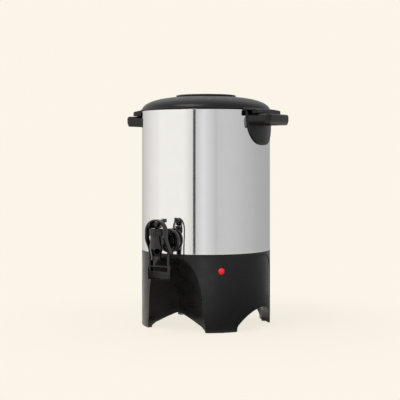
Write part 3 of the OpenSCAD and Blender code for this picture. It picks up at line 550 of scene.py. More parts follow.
class Housing:
    """The base housing's surface, worked out from the sizes."""

    def __init__(self, sizes):
        self.crown = sizes.arch_crown / MM
        self.straight = sizes.foot_straight / MM
        self.top = sizes.crease_top / MM
        self.depth = sizes.panel_depth / MM
        self.arch_w = TANK_R * sin(radians(ARCH_HALF))
        rise = self.crown - self.straight
        self.arch_r = (self.arch_w ** 2 + rise ** 2) / (2 * rise)

    def crease_half(self, z):
        """Half-width of a panel at height z."""
        if z < CREASE_MID:
            return CREASE_W + (CREASE_FOOT_W - CREASE_W) * (CREASE_MID - z) / CREASE_MID
        t = min(1, (z - CREASE_MID) / (self.top - CREASE_MID))
        return CREASE_W * (1 - t ** CREASE_POWER) ** (1 / CREASE_POWER)

    def crease_height(self, y):
        """Height of the crease at distance y from a panel's middle."""
        if y > CREASE_W:
            return CREASE_MID * (1 - (y - CREASE_W) / (CREASE_FOOT_W - CREASE_W))
        t = (1 - (y / CREASE_W) ** CREASE_POWER) ** (1 / CREASE_POWER)
        return CREASE_MID + (self.top - CREASE_MID) * t

    def lower_edge(self, panel, y):
        """Height of an arch at distance y from its middle."""
        if panel != FRONT:
            return self.crown - self.arch_r + sqrt(self.arch_r ** 2 - y * y)
        for (y0, z0), (y1, z1) in zip(FRONT_EDGE, FRONT_EDGE[1:]):
            if y <= y1:
                break
        return z0 + (z1 - z0) * (y - y0) / (y1 - y0)

    def columns(self, panel):
        """Half of a quadrant's columns: angle, distance from the panel's middle, low edge, crease."""
        arch_w = FRONT_EDGE[-1][0] if panel == FRONT else self.arch_w
        low_crease = self.crease_height(arch_w)
        heights = [low_crease + (self.top - low_crease) * i / 44 for i in range(45)]
        spread = [self.crease_half(z) for z in heights] + [2.2 * i for i in range(21)] + [arch_w]
        out, last = [], -1
        for y in sorted(spread):
            if y - last > 0.06 and y <= arch_w:
                low = self.lower_edge(panel, y)
                out.append((degrees(asin(y / TANK_R)), y, low, max(self.crease_height(y), low + 0.5)))
                last = y
        edge = degrees(asin(arch_w / TANK_R))
        side = rounded([(edge, out[-1][2]), (edge + 0.6, SOLE_Z, 1.1), (45, SOLE_Z)], 6, closed=False)
        side += [(a, SOLE_Z) for a in (34, 36.5, 39, 42)]
        for a, z in sorted(side)[1:]:
            out.append((a, None, z, max(low_crease, z + 0.5)))
        return out

    def scoop_radius(self, z):
        c = sqrt(1 - (self.crease_half(z) / TANK_R) ** 2)
        return sqrt(SCOOP_AXIS ** 2 + TANK_R ** 2 - 2 * SCOOP_AXIS * TANK_R * c)

    def scoop(self, a, z, wall=0.0):
        """Distance of the hollow under the tap from the tank's axis, or None beside it."""
        if z > self.top + wall:
            return None
        reach = self.scoop_radius(min(z, self.top - 0.001)) + wall
        under = reach ** 2 - (SCOOP_AXIS * sin(radians(a))) ** 2
        return SCOOP_AXIS * cos(radians(a)) - sqrt(under) if under > 0 else None

    def outer(self, panel, a, y, z):
        """Radius of the outer surface at an angle from a panel's middle."""
        if y is None or z >= self.crease_height(y):
            return TANK_R
        beside = self.crease_half(z) - y
        below = self.crease_height(y) - z
        away = beside * below / max(1e-6, hypot(beside, below))
        step = self.depth * smoothstep(away / 1.1)
        if panel != FRONT:
            return TANK_R - step
        soft, sunk = 0.6, max(0, TANK_R - self.scoop(a, z))
        return TANK_R - step - (hypot(sunk, soft) - soft)

    def inner(self, panel, a, z):
        hollow = self.scoop(a, z, SCOOP_WALL) if panel == FRONT else None
        return min(TANK_R - WALL, hollow) if hollow else TANK_R - WALL

    def loop(self, panel, a, y, low, crease):
        """Section of the wall at one angle, as radii and heights."""
        edge, down, up, within = 0.45, 20, 24, 14
        foot = low + edge
        radius = self.outer(panel, a, y, foot)
        rows = [(radius - 0.5, low), (radius - 0.14, low + 0.12), (radius, foot)]
        for i in range(down - 1, -1, -1):
            z = crease - (crease - foot) * (i / down) ** 1.7
            rows.append((self.outer(panel, a, y, z), z))
        brim = BASE_TOP - 0.6
        for i in range(1, up + 1):
            z = crease + (brim - crease) * (i / up) ** 1.4
            rows.append((self.outer(panel, a, y, z), z))
        rows += [(TANK_R - 0.16, BASE_TOP - 0.14), (TANK_R - 0.6, BASE_TOP)]
        collar, bore, shelf = TANK_R - 1.1, TANK_R - 12, BASE_TOP - 3
        rows += [(collar, BASE_TOP), (collar, BASE_HIGH.z - 0.5), (collar - 0.5, BASE_HIGH.z),
                 (collar - 2.7, BASE_HIGH.z), (collar - 2.7, BASE_TOP), (bore, BASE_TOP), (bore, shelf)]
        for i in range(within + 1):
            z = shelf + (low + 0.3 - shelf) * i / within
            rows.append((self.inner(panel, a, z), z))
        rows.append((self.inner(panel, a, low + 0.3) + 0.3, low))
        return rows

    def shell(self):
        rings = []
        for panel in (FRONT, RIGHT, BACK, LEFT):
            half = self.columns(panel)
            mirrored = [(-a, *rest) for a, *rest in reversed(half) if 0 < a < 45]
            for a, y, low, crease in mirrored + half:
                turn = radians(panel + a)
                rings.append([(r * cos(turn), r * sin(turn), z)
                              for r, z in self.loop(panel, a, y, low, crease)])
        return loft(rings, loop=True)

    def flange(self, side):
        """Half of the flange inside a plain arch, from its foot nearly up to its crown."""
        middle, root = self.crown - self.arch_r, TANK_R - 1
        foot_a = degrees(asin(self.arch_w / self.arch_r))
        path = [(self.arch_w, SOLE_Z, 90), (self.arch_w, self.straight - 0.5, 90)]
        for i in range(15):
            a = radians(foot_a + (13 - foot_a) * i / 14)
            path.append((self.arch_r * sin(a), middle + self.arch_r * cos(a), degrees(a)))
        rings = []
        for i, (y, z, a) in enumerate(path):
            rise = FLANGE_Z - SOLE_Z if i == 0 else 0
            ring = []
            for r, grow in ((root, 0), (FLANGE_R, 0), (FLANGE_R, FLANGE_T), (root, FLANGE_T)):
                across = y + grow * sin(radians(a))
                up = min(z + grow * cos(radians(a)), self.crown - 0.1)
                up += rise if r == FLANGE_R else 0
                ring.append((sqrt(r * r - across * across), side * across, up))
            rings.append(ring)
        return loft(rings)


def base_housing(sizes):
    shape = Housing(sizes)
    housing = mesh_object("base_shell", shape.shell())
    parts = [turned(shape.flange(side), a) for a in (RIGHT, LEFT) for side in (-1, 1)]
    pad_boss = shifted(rod(4.2, SOLE_Z, SOLE_Z + 6, 40, 0.3), x=PAD_PLACE_R)
    parts += [turned(pad_boss, a) for a in (45, 135, 225, 315)]
    bore, low, high = 1.5, 33.8, 53.8
    boss = revolve([(bore, low), (4.5, low), (4.2, high), (bore, high)], 32)
    web = block((3, -1.2, 33.9), (9.5, 1.2, 52))
    for a, r in ((FRONT, 70), (RIGHT, 86), (BACK, 86), (LEFT, 86)):
        parts.append(turned(shifted(join(boss, web), x=r), a))
    lens_r, lens_z = sizes.lens_radius / MM, sizes.lens_height / MM
    for r, start in ((lens_r + 0.1, TANK_R - 1.1), (lens_r - 0.9, TANK_R - 8)):
        cut(housing, turned(along_x(rod(r, start, TANK_R + 6), lens_z), LENS_ANGLE))
    inlet_low, inlet_high = span("inlet_shroud")
    half_w, half_h, mid = 20, 13, (inlet_low.z + inlet_high.z) / 2
    cut(housing, block((-half_w, TANK_R - 12, mid - half_h), (half_w, TANK_R + 8, mid + half_h)))
    extra = mesh_object("extra", join(*parts))
    with_parts = bmesh.new()
    with_parts.from_mesh(housing.data)
    with_parts.from_mesh(extra.data)
    with_parts.to_mesh(housing.data)
    with_parts.free()
    bpy.data.objects.remove(extra)
    return housing


def indicator_lens(sizes):
    r, seat, crown = sizes.lens_radius / MM, TANK_R - 1.1, 2.4
    dome_r = (r * r + crown * crown) / (2 * crown)
    edge = degrees(asin((dome_r - crown) / dome_r))
    profile = [(0, -5), (r - 1, -5), (r - 1, 0), (r, 0), (r, 0.7)]
    profile += arc(0, 1 + crown - dome_r, dome_r, edge + 3, 90, 10)[:-1] + [(0, 1 + crown)]
    lens = shifted(revolve(profile, 64, closed=False), z=seat)
    return turned(along_x(lens, sizes.lens_height / MM), LENS_ANGLE)


# ---- handles ----

PLATE_R = TANK_R + 2.5
PLATE_W = 38
PLATE_POWER = 2.55
PLATE_TOP_Z = TANK_TOP - 2
GRIP_Z, GRIP_TOP = 300.5, 316
ROOT_W, TIP_W, CORNER = 36, 33.8, 8
LEDGE_R, LEDGE_Z = PLATE_R + 4.5, GRIP_TOP + 2.6


def shield(sizes):
    """Outline of a handle's plate, across and up, running anticlockwise."""
    drop, steps = sizes.plate_drop / MM, 26
    first = (TANK_TOP - PLATE_TOP_Z) / drop
    side = []
    for i in range(steps + 1):
        t = first + (1 - first) * sin(pi / 2 * i / steps)
        side.append((PLATE_W * max(0, 1 - t ** PLATE_POWER) ** (1 / PLATE_POWER), TANK_TOP - drop * t))
    top_w = side[0][0]
    across = [(-top_w + 2 * top_w * i / 24, PLATE_TOP_Z) for i in range(1, 24)]
    right = list(reversed(side[1:]))
    left = [(-u, v) for u, v in side[1:-1]]
    top = [(top_w, PLATE_TOP_Z - 0.01)] + list(reversed(across)) + [(-top_w, PLATE_TOP_Z - 0.01)]
    return right + top + left


def handle_plate(sizes):
    outline, middle = shield(sizes), TANK_TOP - 20

    def ring(depth, r, share=1.0):
        line = [(u * share, middle + (v - middle) * share) for u, v in inset(outline, depth)]
        return [(sqrt(r * r - u * u), u, v) for u, v in line]

    face, back = PLATE_R, TANK_R + 0.05
    shares = (0.04, 0.25, 0.5, 0.75, 0.92)
    rings = [ring(0.3, back, s) for s in shares] + [ring(0.3, back), ring(0, back + 0.3)]
    rings += [ring(0, face - 1.3), ring(0.12, face - 0.75), ring(0.5, face - 0.25), ring(1.3, face)]
    rings += [ring(1.3, face, s) for s in reversed(shares)]
    return loft(rings)


def shelf_plan(start, root_w, reach, tip_w, corner):
    """Outline of a shelf, from start out to its rounded tip."""
    half = [(start, root_w)] + arc(reach - corner, tip_w - corner, corner, 90, 0, 10)
    return [(x, -y) for x, y in half] + list(reversed(half))


def handle(sizes):
    outline = shelf_plan(88, ROOT_W + 0.7, GRIP_REACH, TIP_W, CORNER)
    inside = [(3.3, 312.8), (2.9, 312.4), (2.7, 311.6)]
    under = [(2.6, 0.5), (2.5, 0.15), (2.3, 0), (2, 0.3), (1.45, 1.6), (0.85, 3.1), (0.3, 4.9),
             (0, 6.7)]
    above = [(0, 3.4), (0.25, 2.1), (0.9, 0.9), (1.9, 0.25), (3.1, 0)]
    rows = inside + [(d, GRIP_Z + h) for d, h in under] + [(d, GRIP_TOP - h) for d, h in above]
    made = mesh_object("handle", prism(outline, rows))
    cut(made, rod(PLATE_R - 0.9, 290, 330, 256))
    fuse(made, handle_plate(sizes))
    return fuse(made, sector(PLATE_R - 0.6, LEDGE_R, LEDGE_Z, LEDGE_Z + 1.8, -9, -0.5))


# ---- lid ----

LID_Z = TANK_TOP + 0.4
LID_R = TANK_R + 1.1
DOME_Z = TANK_TOP + 1
DOME_POWER = 0.655
LID_WALL = 2.4
WELL_R, WELL_Z = 40, 327
SKIRT_R = 93.3
EAR_W, EAR_CORNER, EAR_WALL = 43, 7, 2
EAR_LOW, EAR_ROOF, TONGUE_T = GRIP_TOP + 0.3, PLATE_TOP_Z + 0.4, 1.6
NOTCH_END = 103.5
SCREW_X, VENT_R, BAR_LOW = 24, 32, 338
# Top of an ear: distance from the tank's axis, and height above the tank's rim
EAR_FALL = [(78, 9.6), (84, 8.2), (88, 6.8), (92, 4.6), (95, 3.2), (99, 2), (104, 1.3),
            (EAR_REACH, 0.6)]


def dome(r, height, r_in, steps):
    """Points of a dome line, from the rim in to radius r_in."""
    last = degrees(acos((r_in / r) ** (1 / DOME_POWER)))
    turn = [radians(4 + (last - 4) * i / steps) for i in range(steps + 1)]
    return [(r * cos(a) ** DOME_POWER, DOME_Z + height * sin(a)) for a in turn]


def lid_shell(sizes):
    height = sizes.dome_height / MM
    rim = [(SKIRT_R, LID_Z), (LID_R, LID_Z, 0.7), (LID_R, LID_Z + 2.1, 0.9)]
    outer = dome(TANK_R, height, WELL_R + 1.2, 40)
    top = DOME_Z + height - 0.8
    inner = dome(TANK_R - LID_WALL - 0.2, height - LID_WALL, WELL_R + 2, 24)
    profile = rounded(rim + outer + [
        (WELL_R + 0.9, top, 0.5), (WELL_R, top, 0.4), (WELL_R, WELL_Z, 1.6), (0, WELL_Z)],
        4, closed=False)
    under = rounded([(0, WELL_Z - 2), (WELL_R + 2, WELL_Z - 2, 1.2)] + list(reversed(inner))[1:-2]
                    + [(SKIRT_R - 2, DOME_Z + 4.5, 0.8), (SKIRT_R - 2, TANK_TOP - 11, 0.4),
                       (SKIRT_R, TANK_TOP - 11, 0.8), (SKIRT_R, LID_Z)], 4, closed=False)
    return revolve(profile + under[:-1], 256, closed=True)


def ear_top(u):
    """Height of an ear's top at distance u from the tank's axis."""
    for (u0, z0), (u1, z1) in zip(EAR_FALL, EAR_FALL[1:]):
        if u <= u1:
            break
    return TANK_TOP + z0 + (z1 - z0) * (u - u0) / (u1 - u0)


def lid_ear(sizes):
    """Ear over a handle: a shallow cap, its top falling outwards from the dome."""
    def place(u, v, share):
        return u, v, EAR_LOW + (ear_top(hypot(u, v)) - EAR_LOW) * share

    outline = subdivided(shelf_plan(80, EAR_W, EAR_REACH, EAR_W, EAR_CORNER), 2.5)
    rows = [(0.5, 0), (0.15, 0.03), (0, 0.09), (0, 0.76), (0.12, 0.86), (0.5, 0.94), (1.1, 0.985),
            (2, 1)]
    ear = mesh_object("ear", prism(outline, rows, place))
    cut(ear, rod(PLATE_R + 0.6, 300, EAR_ROOF, 256))
    cut(ear, rod(TANK_R + 0.3, 300, LID_Z, 256))
    half_w = EAR_W - EAR_WALL
    hollow = shelf_plan(70, half_w, EAR_REACH - EAR_WALL, half_w, EAR_CORNER - EAR_WALL)
    cut(ear, slab(hollow, EAR_LOW - 5, EAR_ROOF, 0.5))
    room = dome(TANK_R - LID_WALL - 0.2, sizes.dome_height / MM - LID_WALL, WELL_R + 2, 24)
    room = [(0, LID_Z + 1), (room[0][0], LID_Z + 1)] + room + [(0, room[-1][1])]
    cut(ear, revolve(room, 192, closed=False))
    cut(ear, block((80, -EAR_W - 1, EAR_LOW - 1), (NOTCH_END, 1 - half_w, EAR_ROOF)))
    tongue = arc(0, 0, EAR_REACH - 0.9, 1, 9, 6) + arc(0, 0, PLATE_R + 1, 9, 1, 6)
    return take(fuse(ear, slab(tongue, EAR_LOW + 0.01, EAR_LOW + TONGUE_T, 0.2)))


def subdivided(outline, step):
    """An outline with points at least every step."""
    out = []
    for (u, v), (u1, v1) in zip(outline, outline[1:] + outline[:1]):
        parts = max(1, int(hypot(u1 - u, v1 - v) / step))
        out += [(u + (u1 - u) * k / parts, v + (v1 - v) * k / parts) for k in range(parts)]
    return out


def lid(sizes):
    made = mesh_object("lid_dome", lid_shell(sizes))
    ear = lid_ear(sizes)
    fuse(made, ear)
    fuse(made, turned(ear, 180))
    vents = [turned(shifted(rod(1.6, WELL_Z - 3, WELL_Z + 2, 24), x=VENT_R), a + s)
             for a in (50, 70, 90, 110, 130) for s in (0, 180)]
    posts = [shifted(rod(1.8, WELL_Z - 3, WELL_Z + 2, 24), x=x) for x in (-SCREW_X, SCREW_X)]
    return cut(made, join(*vents, *posts))


def lid_grip(sizes):
    r, top = sizes.grip_radius / MM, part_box("lid_grip")[1].z / MM
    under = DOME_Z + sizes.dome_height / MM - 0.5
    r_in = WELL_R - 2
    ring = rounded([(r_in, under, 0.5), (r, under, 0.6), (r, top, 1.5), (r_in, top, 1.0)], 6)
    made = mesh_object("lid_finger_grip", revolve(ring, 192))
    end_a = degrees(asin(11 / (WELL_R - 0.4)))
    bar = arc(0, 0, WELL_R - 0.4, -end_a, end_a, 8)
    bar += [(-x, -y) for x, y in bar]
    rows = [(1, BAR_LOW), (0.3, BAR_LOW + 0.3), (0, BAR_LOW + 1), (0, top - 2.6), (0.3, top - 1.2),
            (1.4, top - 0.6)]
    fuse(made, prism(bar, rows))
    for x in (-SCREW_X, SCREW_X):
        fuse(made, shifted(rod(4.5, WELL_Z + 0.02, 340, 32), x=x))
    return made


# ---- tap, drawn about its upright axis with the tank on the +Y side ----

BONNET_TOP = TAP_HIGH.z
BONNET_Z = TAP_LOW.z
BARREL_R, SPOUT_R, OUTLET_R = 9.5, 7, 4.5
SPOUT_Z, SEAT_Z = 108, 118
SHANK_R, TANK_HOLE_R = 8.75, 8.8
FLANGE_BACK = TAP_REACH - TANK_R - 2.5
SHANK_END = TAP_REACH - TANK_R + 12
PIN_Z = 157
DIMPLE_R, DIMPLE_Z, DIMPLE_A = 3.9, 120.4, -47


def at_tap(solid):
    return shifted(solid, y=-TAP_REACH)


def tap_body():
    neck_r, neck_top = 8, BONNET_TOP - 2.6
    barrel = rounded([(0, SPOUT_Z), (SPOUT_R, SPOUT_Z, 0.7), (SPOUT_R, 113, 3), (BARREL_R, 123, 4),
                      (BARREL_R - 0.2, 128, 3), (BARREL_R - 1.1, BONNET_Z - 3, 3),
                      (BARREL_R - 1.1, BONNET_Z, 0.3), (neck_r, BONNET_Z), (neck_r, neck_top),
                      (0, neck_top)], 5, closed=False)
    made = mesh_object("tap_barrel", at_tap(revolve(barrel, 96, closed=False)))
    thread_r = SHANK_R - 0.25
    shank = rounded([(0, 0), (SHANK_R, 0), (SHANK_R, FLANGE_BACK + 1), (thread_r, FLANGE_BACK + 1.2),
                     (thread_r, SHANK_END, 0.6), (0, SHANK_END)], 3, closed=False)
    fuse(made, at_tap(along_y(revolve(shank, 72, closed=False), TAP_Z)))
    cut(made, at_tap(rod(6.5, SEAT_Z, 160, 64)))
    cut(made, at_tap(rod(OUTLET_R, SPOUT_Z - 1, SEAT_Z + 2, 64)))
    cut(made, at_tap(along_y(rod(5.5, 0, SHANK_END + 1, 64), TAP_Z)))
    dimple = turned(along_x(rod(DIMPLE_R, 6.9, 12, 40), DIMPLE_Z), DIMPLE_A)
    return cut(made, at_tap(dimple))


def bore_shade_plug():
    """Matt near-black plug that closes the cross bore of the barrel: painted shade of the bore's dark
    depth.
    """
    return at_tap(turned(along_x(rod(DIMPLE_R - 0.03, 6.75, 7, 40), DIMPLE_Z), DIMPLE_A))


def flange_nut():
    profile = [(SHANK_R + 0.02, 0), (17.35, 0, 0.5), (17.35, 5.6, 0.6), (16.15, 7, 0.6), (13.7, 7, 0.5),
               (13.2, 4.4, 0.4), (11.6, 4.4, 0.4), (11.1, 8.4, 0.5), (SHANK_R + 0.02, 8.4)]
    place = Matrix.Translation((0, FLANGE_BACK, TAP_Z)) @ Matrix.Rotation(pi / 2, 4, "X")
    return at_tap(moved(revolve(rounded(profile, 4), 128), place))


def tap_bonnet():
    """Ring nut over the barrel, with flutes round its side."""
    flutes, segments, r = 18, 18 * 12, 10.25
    rows = [(8, BONNET_Z, 0), (r - 0.5, BONNET_Z, 0), (r, BONNET_Z + 0.5, 0.4), (r, BONNET_Z + 1, 1),
            (r, BONNET_TOP - 2.4, 1), (r, BONNET_TOP - 1.6, 0.1), (r, BONNET_TOP - 0.7, 0),
            (r - 0.25, BONNET_TOP - 0.2, 0), (r - 0.8, BONNET_TOP, 0), (2.08, BONNET_TOP, 0),
            (2.08, BONNET_TOP - 2.6, 0), (8, BONNET_TOP - 2.6, 0)]
    rings = []
    for radius, z, depth in rows:
        ring = []
        for k in range(segments):
            a = 2 * pi * k / segments
            groove = max(0, cos(a * flutes)) ** 2 * 0.85 * depth
            ring.append(((radius - groove) * cos(a), (radius - groove) * sin(a), z))
        rings.append(ring)
    return at_tap(loft(rings, loop=True))


LEVER_W, LEVER_T, LEVER_D = 17, 2.7, 4.25
LOOP_Z, KNEE_Z, SHIN_Z, SHIN_Y = 148, 137, 119, 10
PLATE_LOW, PLATE_TOP, PLATE_HALF = 79, 98.5, 18.5
CHEEK_X, CHEEK_TOP = 6.05, 162.8


def lever_strap():
    """The lever's round loop with its two arms, one strap from end to end."""
    mid = LEVER_W - LEVER_T / 2
    arm = range(81, LOOP_Z, 3)
    path = [(-mid, z, 180) for z in arm]
    path += [(mid * cos(radians(a)), LOOP_Z + mid * sin(radians(a)), a) for a in range(180, -1, -6)]
    path += [(mid, z, 0) for z in reversed(arm)]
    half = LEVER_T / 2
    section = rounded([(-half, -LEVER_D, 0.7), (half, -LEVER_D, 0.7), (half, LEVER_D, 0.7),
                       (-half, LEVER_D, 0.7)], 3)
    rings = []
    for x, z, a in path:
        lean = SHIN_Y * smoothstep((KNEE_Z + 3 - z) / (KNEE_Z - SHIN_Z + 6))
        out = Vector((cos(radians(a)), 0, sin(radians(a))))
        rings.append([tuple(Vector((x, lean + v, z)) + out * u) for u, v in section])
    return loft(rings)


def lever_cheek(x):
    """Side plate that holds the pin and carries the cam."""
    cam_e, cam_r = 6, 4.84
    outline = arc(-cam_e, PIN_Z, cam_r, 95, 285, 18) + arc(0, PIN_Z, LEVER_D, -65, 0, 6)
    outline += [(LEVER_D, CHEEK_TOP), (-LEVER_D, CHEEK_TOP)]
    return slab(outline, x - 1.75, x + 1.75, 0.3, lambda u, v, h: (h, u, v))


def tap_lever():
    made = mesh_object("tap_lever_strap", at_tap(lever_strap()))
    outline = rounded([(-PLATE_HALF, PLATE_LOW, 2), (PLATE_HALF, PLATE_LOW, 2),
                       (PLATE_HALF, PLATE_TOP, 1.5), (-PLATE_HALF, PLATE_TOP, 1.5)], 4)
    plate = mesh_object("plate", at_tap(slab(outline, SHIN_Y - LEVER_D, SHIN_Y - LEVER_D + 5, 0.7,
                                             lambda u, v, h: (u, h, v))))
    cut(plate, at_tap(block((-15.8, 0, 90.8), (15.8, 20, 97.1))))
    fuse(made, take(plate))
    for x in (-CHEEK_X, CHEEK_X):
        fuse(made, at_tap(lever_cheek(x)))
    hook = rounded([(-2, 161.9), (17.6, 161.9, 0.8), (18, 159.6, 0.6), (23, 159.6, 1.2), (23, 165, 1.6),
                    (18.6, 164.9, 1.2), (17, 164, 1), (-2, 164)], 4)
    fuse(made, at_tap(slab(hook, -3, 3, 0.5, lambda u, v, h: (h, u, v))))
    return cut(made, at_tap(along_x(rod(1.6, -9, 9, 32), PIN_Z)))


# ---- studio ----

# Cards stand round the urn. Each is a list of angles, from the camera's side to the right, with the
# grey value of 0 to 255 that the polished steel shows of it.
CARDS = {
    "key_card": [(-180, 180), (-151, 187), (-134, 206), (-122, 215), (-112, 224), (-103, 229),
                 (-94, 234), (-87, 240), (-42, 240), (-36, 236), (-31, 228), (-25, 217), (-22.3, 205)],
    "dark_flag": [(-22.3, 75), (-18, 75)],
    "fill_card": [(-18, 195), (-14.4, 202), (-9, 214), (-3.6, 220), (1.8, 211), (7, 204),
                  (12.6, 197), (18, 186)],
    "side_card": [(18, 190), (23, 195), (40, 195), (58, 190), (71, 184), (84, 180), (100, 173),
                  (118, 169), (145, 164), (180, 164)],
}
# Low cards on the floor, seen only in the plastic's sheen, with the same angles and a glow
LOW_CARDS = {
    "low_card_left": [(-180, 0.9), (-130, 0.9), (-112, 0.5)],
    "low_card_right": [(-22, 0.8), (-12, 1.65), (6, 1.45), (18, 0.8), (45, 0.56), (77, 0.48),
                       (103, 0.37), (142, 0.4), (180, 0.31)],
}
LOW_R, LOW_TOP = 0.4, 0.075
# Black flag before the hollow under the tap, seen only in reflections: it paints shade into the
# hollow's sheen
PAINTED_SHADE_FLAG = (-73, -49)
FLAG_R, FLAG_TOP, SHEET_R = 0.25, 0.092, 0.11
# Sheets on the floor, seen only in reflections, that paint shade: name, angles, inner and outer radius,
# glow. The black one lies behind the flag and paints shade into the hollow, the right one paints shade
# on the undersides of the right grip and the base, and the rounded lower edge of the right grip mirrors
# the front one as painted shade.
SHEETS = [("flag_sheet", PAINTED_SHADE_FLAG, SHEET_R, FLAG_R, 0.0), ("right_sheet", (-47, 150), SHEET_R, LOW_R, 0.2),
          ("front_sheet", (-62, -38), 0.27, 0.75, 0.03)]
STEEL_SHARE = 0.81
CARD_R, CARD_LOW, CARD_HIGH = 3.0, -0.5, 1.9
CEILING_R, CEILING_GLOW = 3.2, 0.62
FLOOR_R = 1.25
BOX_ANGLE, BOX_R, BOX_HEIGHT, BOX_WIDTH, BOX_POWER, AIM_HEIGHT = -40, 0.9, 1.9, 1.2, 14, 0.18
CAMERA_REACH, CAMERA_HEIGHT = 1.62, 0.255
# The photograph's frame is FRAME_PX wide; focal length, horizon and the tank's axis are in its pixels
FRAME_PX, FOCAL_PX, HORIZON_PX, AXIS_PX = 400, 1062, 155.8, 206
SENSOR = 36.0


def around(deg, r, height, sizes):
    """A point at an angle from the camera's side, round the tank's axis."""
    a = sizes.view_azimuth + radians(deg)
    return Vector((r * sin(a), AXIS_Y * MM - r * cos(a), height))


def card_material(name, tone):
    """Glow of a card, whose level is stored on its mesh."""
    material = start_material(name)
    level = add(material, "Attribute", attribute_name="level")
    glow = add(material, "Emission", {"Color": tone, "Strength": level.outputs["Fac"]})
    return close_material(material, glow.outputs[0])


def glowing(name, points, faces, levels, material):
    """Stage piece that glows, unseen by the camera."""
    mesh = bpy.data.meshes.new(name)
    mesh.from_pydata(points, [], faces)
    mesh.attributes.new("level", "FLOAT", "POINT").data.foreach_set("value", levels)
    mesh.materials.append(material)
    made = placed(name, mesh)
    made.visible_camera = made.visible_shadow = False
    return made


def strip(name, points, levels, material):
    """Strip between two lines, whose points take turns."""
    faces = [(i, i + 1, i + 3, i + 2) for i in range(0, len(points) - 2, 2)]
    return glowing(name, points, faces, levels, material)


def card(name, stops, r, low, high, material, sizes):
    """Upright card along an arc, with its glow running from stop to stop."""
    points, levels = [], []
    for (a0, glow0), (a1, glow1) in zip(stops, stops[1:]):
        steps = max(1, round((a1 - a0) / 3))
        for i in range(steps + (a1 == stops[-1][0])):
            t = i / steps
            points += [around(a0 + (a1 - a0) * t, r, z, sizes) for z in (low, high)]
            levels += [glow0 + (glow1 - glow0) * t] * 2
    return strip(name, points, levels, material)


def floor_sheet(name, start, end, r_in, r_out, glow, material, sizes):
    """Sheet on the floor along an arc."""
    turn = [start + (end - start) * i / 16 for i in range(17)]
    points = [around(a, r, 0.0005, sizes) for a in turn for r in (r_in, r_out)]
    return strip(name, points, [glow] * len(points), material)


def ceiling(material, sizes):
    """Level card over the scene, seen only in reflections."""
    points = [around(a, CEILING_R, CARD_HIGH + 0.05, sizes) for a in range(0, 360, 10)]
    face = [tuple(range(len(points)))]
    made = glowing("ceiling_card", points, face, [CEILING_GLOW] * len(points), material)
    made.visible_diffuse = False


def steel_glow(grey):
    """Glow that the steel shows as a grey value of 0 to 255."""
    return linear("#" + 3 * f"{grey:02x}")[0] / STEEL_SHARE


def background(material):
    """Share of rays that see the plain background: camera, glossy and transmission rays."""
    path = add(material, "LightPath")
    first = add(material, "Math", {0: path.outputs["Is Camera Ray"], 1: path.outputs["Is Glossy Ray"]},
                operation="MAXIMUM")
    seen = add(material, "Math", {0: first.outputs[0], 1: path.outputs["Is Transmission Ray"]},
               operation="MAXIMUM")
    return seen.outputs[0]


def make_floor(colours):
    material = start_material("floor_paper")
    seen = background(material)
    place = add(material, "TexCoord")
    reach = add(material, "VectorMath", {0: place.outputs["Object"]}, operation="LENGTH")
    # Near the feet a share of the floor is lit, so that it holds their shadow
    share = add(material, "MapRange", {
        "Value": reach.outputs["Value"], "From Min": 0.16, "From Max": 0.42,
        "To Min": 0.84, "To Max": 1.0}, interpolation_type="SMOOTHSTEP")
    factor = add(material, "Math", {0: seen, 1: share.outputs[0]}, operation="MULTIPLY")
    paper = add(material, "BsdfDiffuse", {"Color": colours.backdrop})
    plain = add(material, "Emission", {"Color": colours.backdrop, "Strength": 1.0})
    mix = add(material, "MixShader", {0: factor.outputs[0], 1: paper.outputs[0], 2: plain.outputs[0]})
    close_material(material, mix.outputs[0])
    shape = bmesh.new()
    bmesh.ops.create_circle(shape, cap_ends=True, radius=FLOOR_R, segments=128)
    mesh = bpy.data.meshes.new("floor")
    shape.to_mesh(mesh)
    shape.free()
    mesh.materials.append(material)
    floor = placed("floor", mesh)
    floor.location = (0, AXIS_Y * MM, 0)


def make_world(colours):
    world = bpy.data.worlds.new("studio")
    bpy.context.scene.world = world
    world.use_nodes = True
    world.node_tree.nodes.clear()
    seen = background(world)
    plain = add(world, "Background", {"Color": colours.backdrop, "Strength": 1.0})
    fill = add(world, "Background", {"Color": linear("#f2f2f2"), "Strength": 0.62})
    mix = add(world, "MixShader", {0: seen, 1: fill.outputs[0], 2: plain.outputs[0]})
    add(world, "OutputWorld", {"Surface": mix.outputs[0]})


def make_camera(sizes):
    data = bpy.data.cameras.new("camera")
    data.sensor_width = SENSOR
    data.lens = SENSOR * FOCAL_PX / FRAME_PX
    bpy.context.scene.camera = camera = placed("camera", data)
    camera.location = around(0, CAMERA_REACH, CAMERA_HEIGHT, sizes)
    camera.rotation_euler = (pi / 2, 0, sizes.view_azimuth)
    data.shift_x = 0.5 - AXIS_PX / FRAME_PX
    data.shift_y = HORIZON_PX / FRAME_PX - 0.5


def soft_light(name, sizes):
    """Round softbox above, aimed at the urn's middle."""
    data = bpy.data.lights.new(name, "AREA")
    data.shape, data.size, data.energy = "DISK", BOX_WIDTH, BOX_POWER
    light = placed(name, data)
    light.location = around(BOX_ANGLE, BOX_R, BOX_HEIGHT, sizes)
    aim = Vector((0, AXIS_Y * MM, AIM_HEIGHT)) - light.location
    light.rotation_euler = aim.to_track_quat("-Z", "Y").to_euler()


# ---- operators ----

class Undoable:
    """What all the operators share."""
    bl_options = {"REGISTER", "UNDO"}


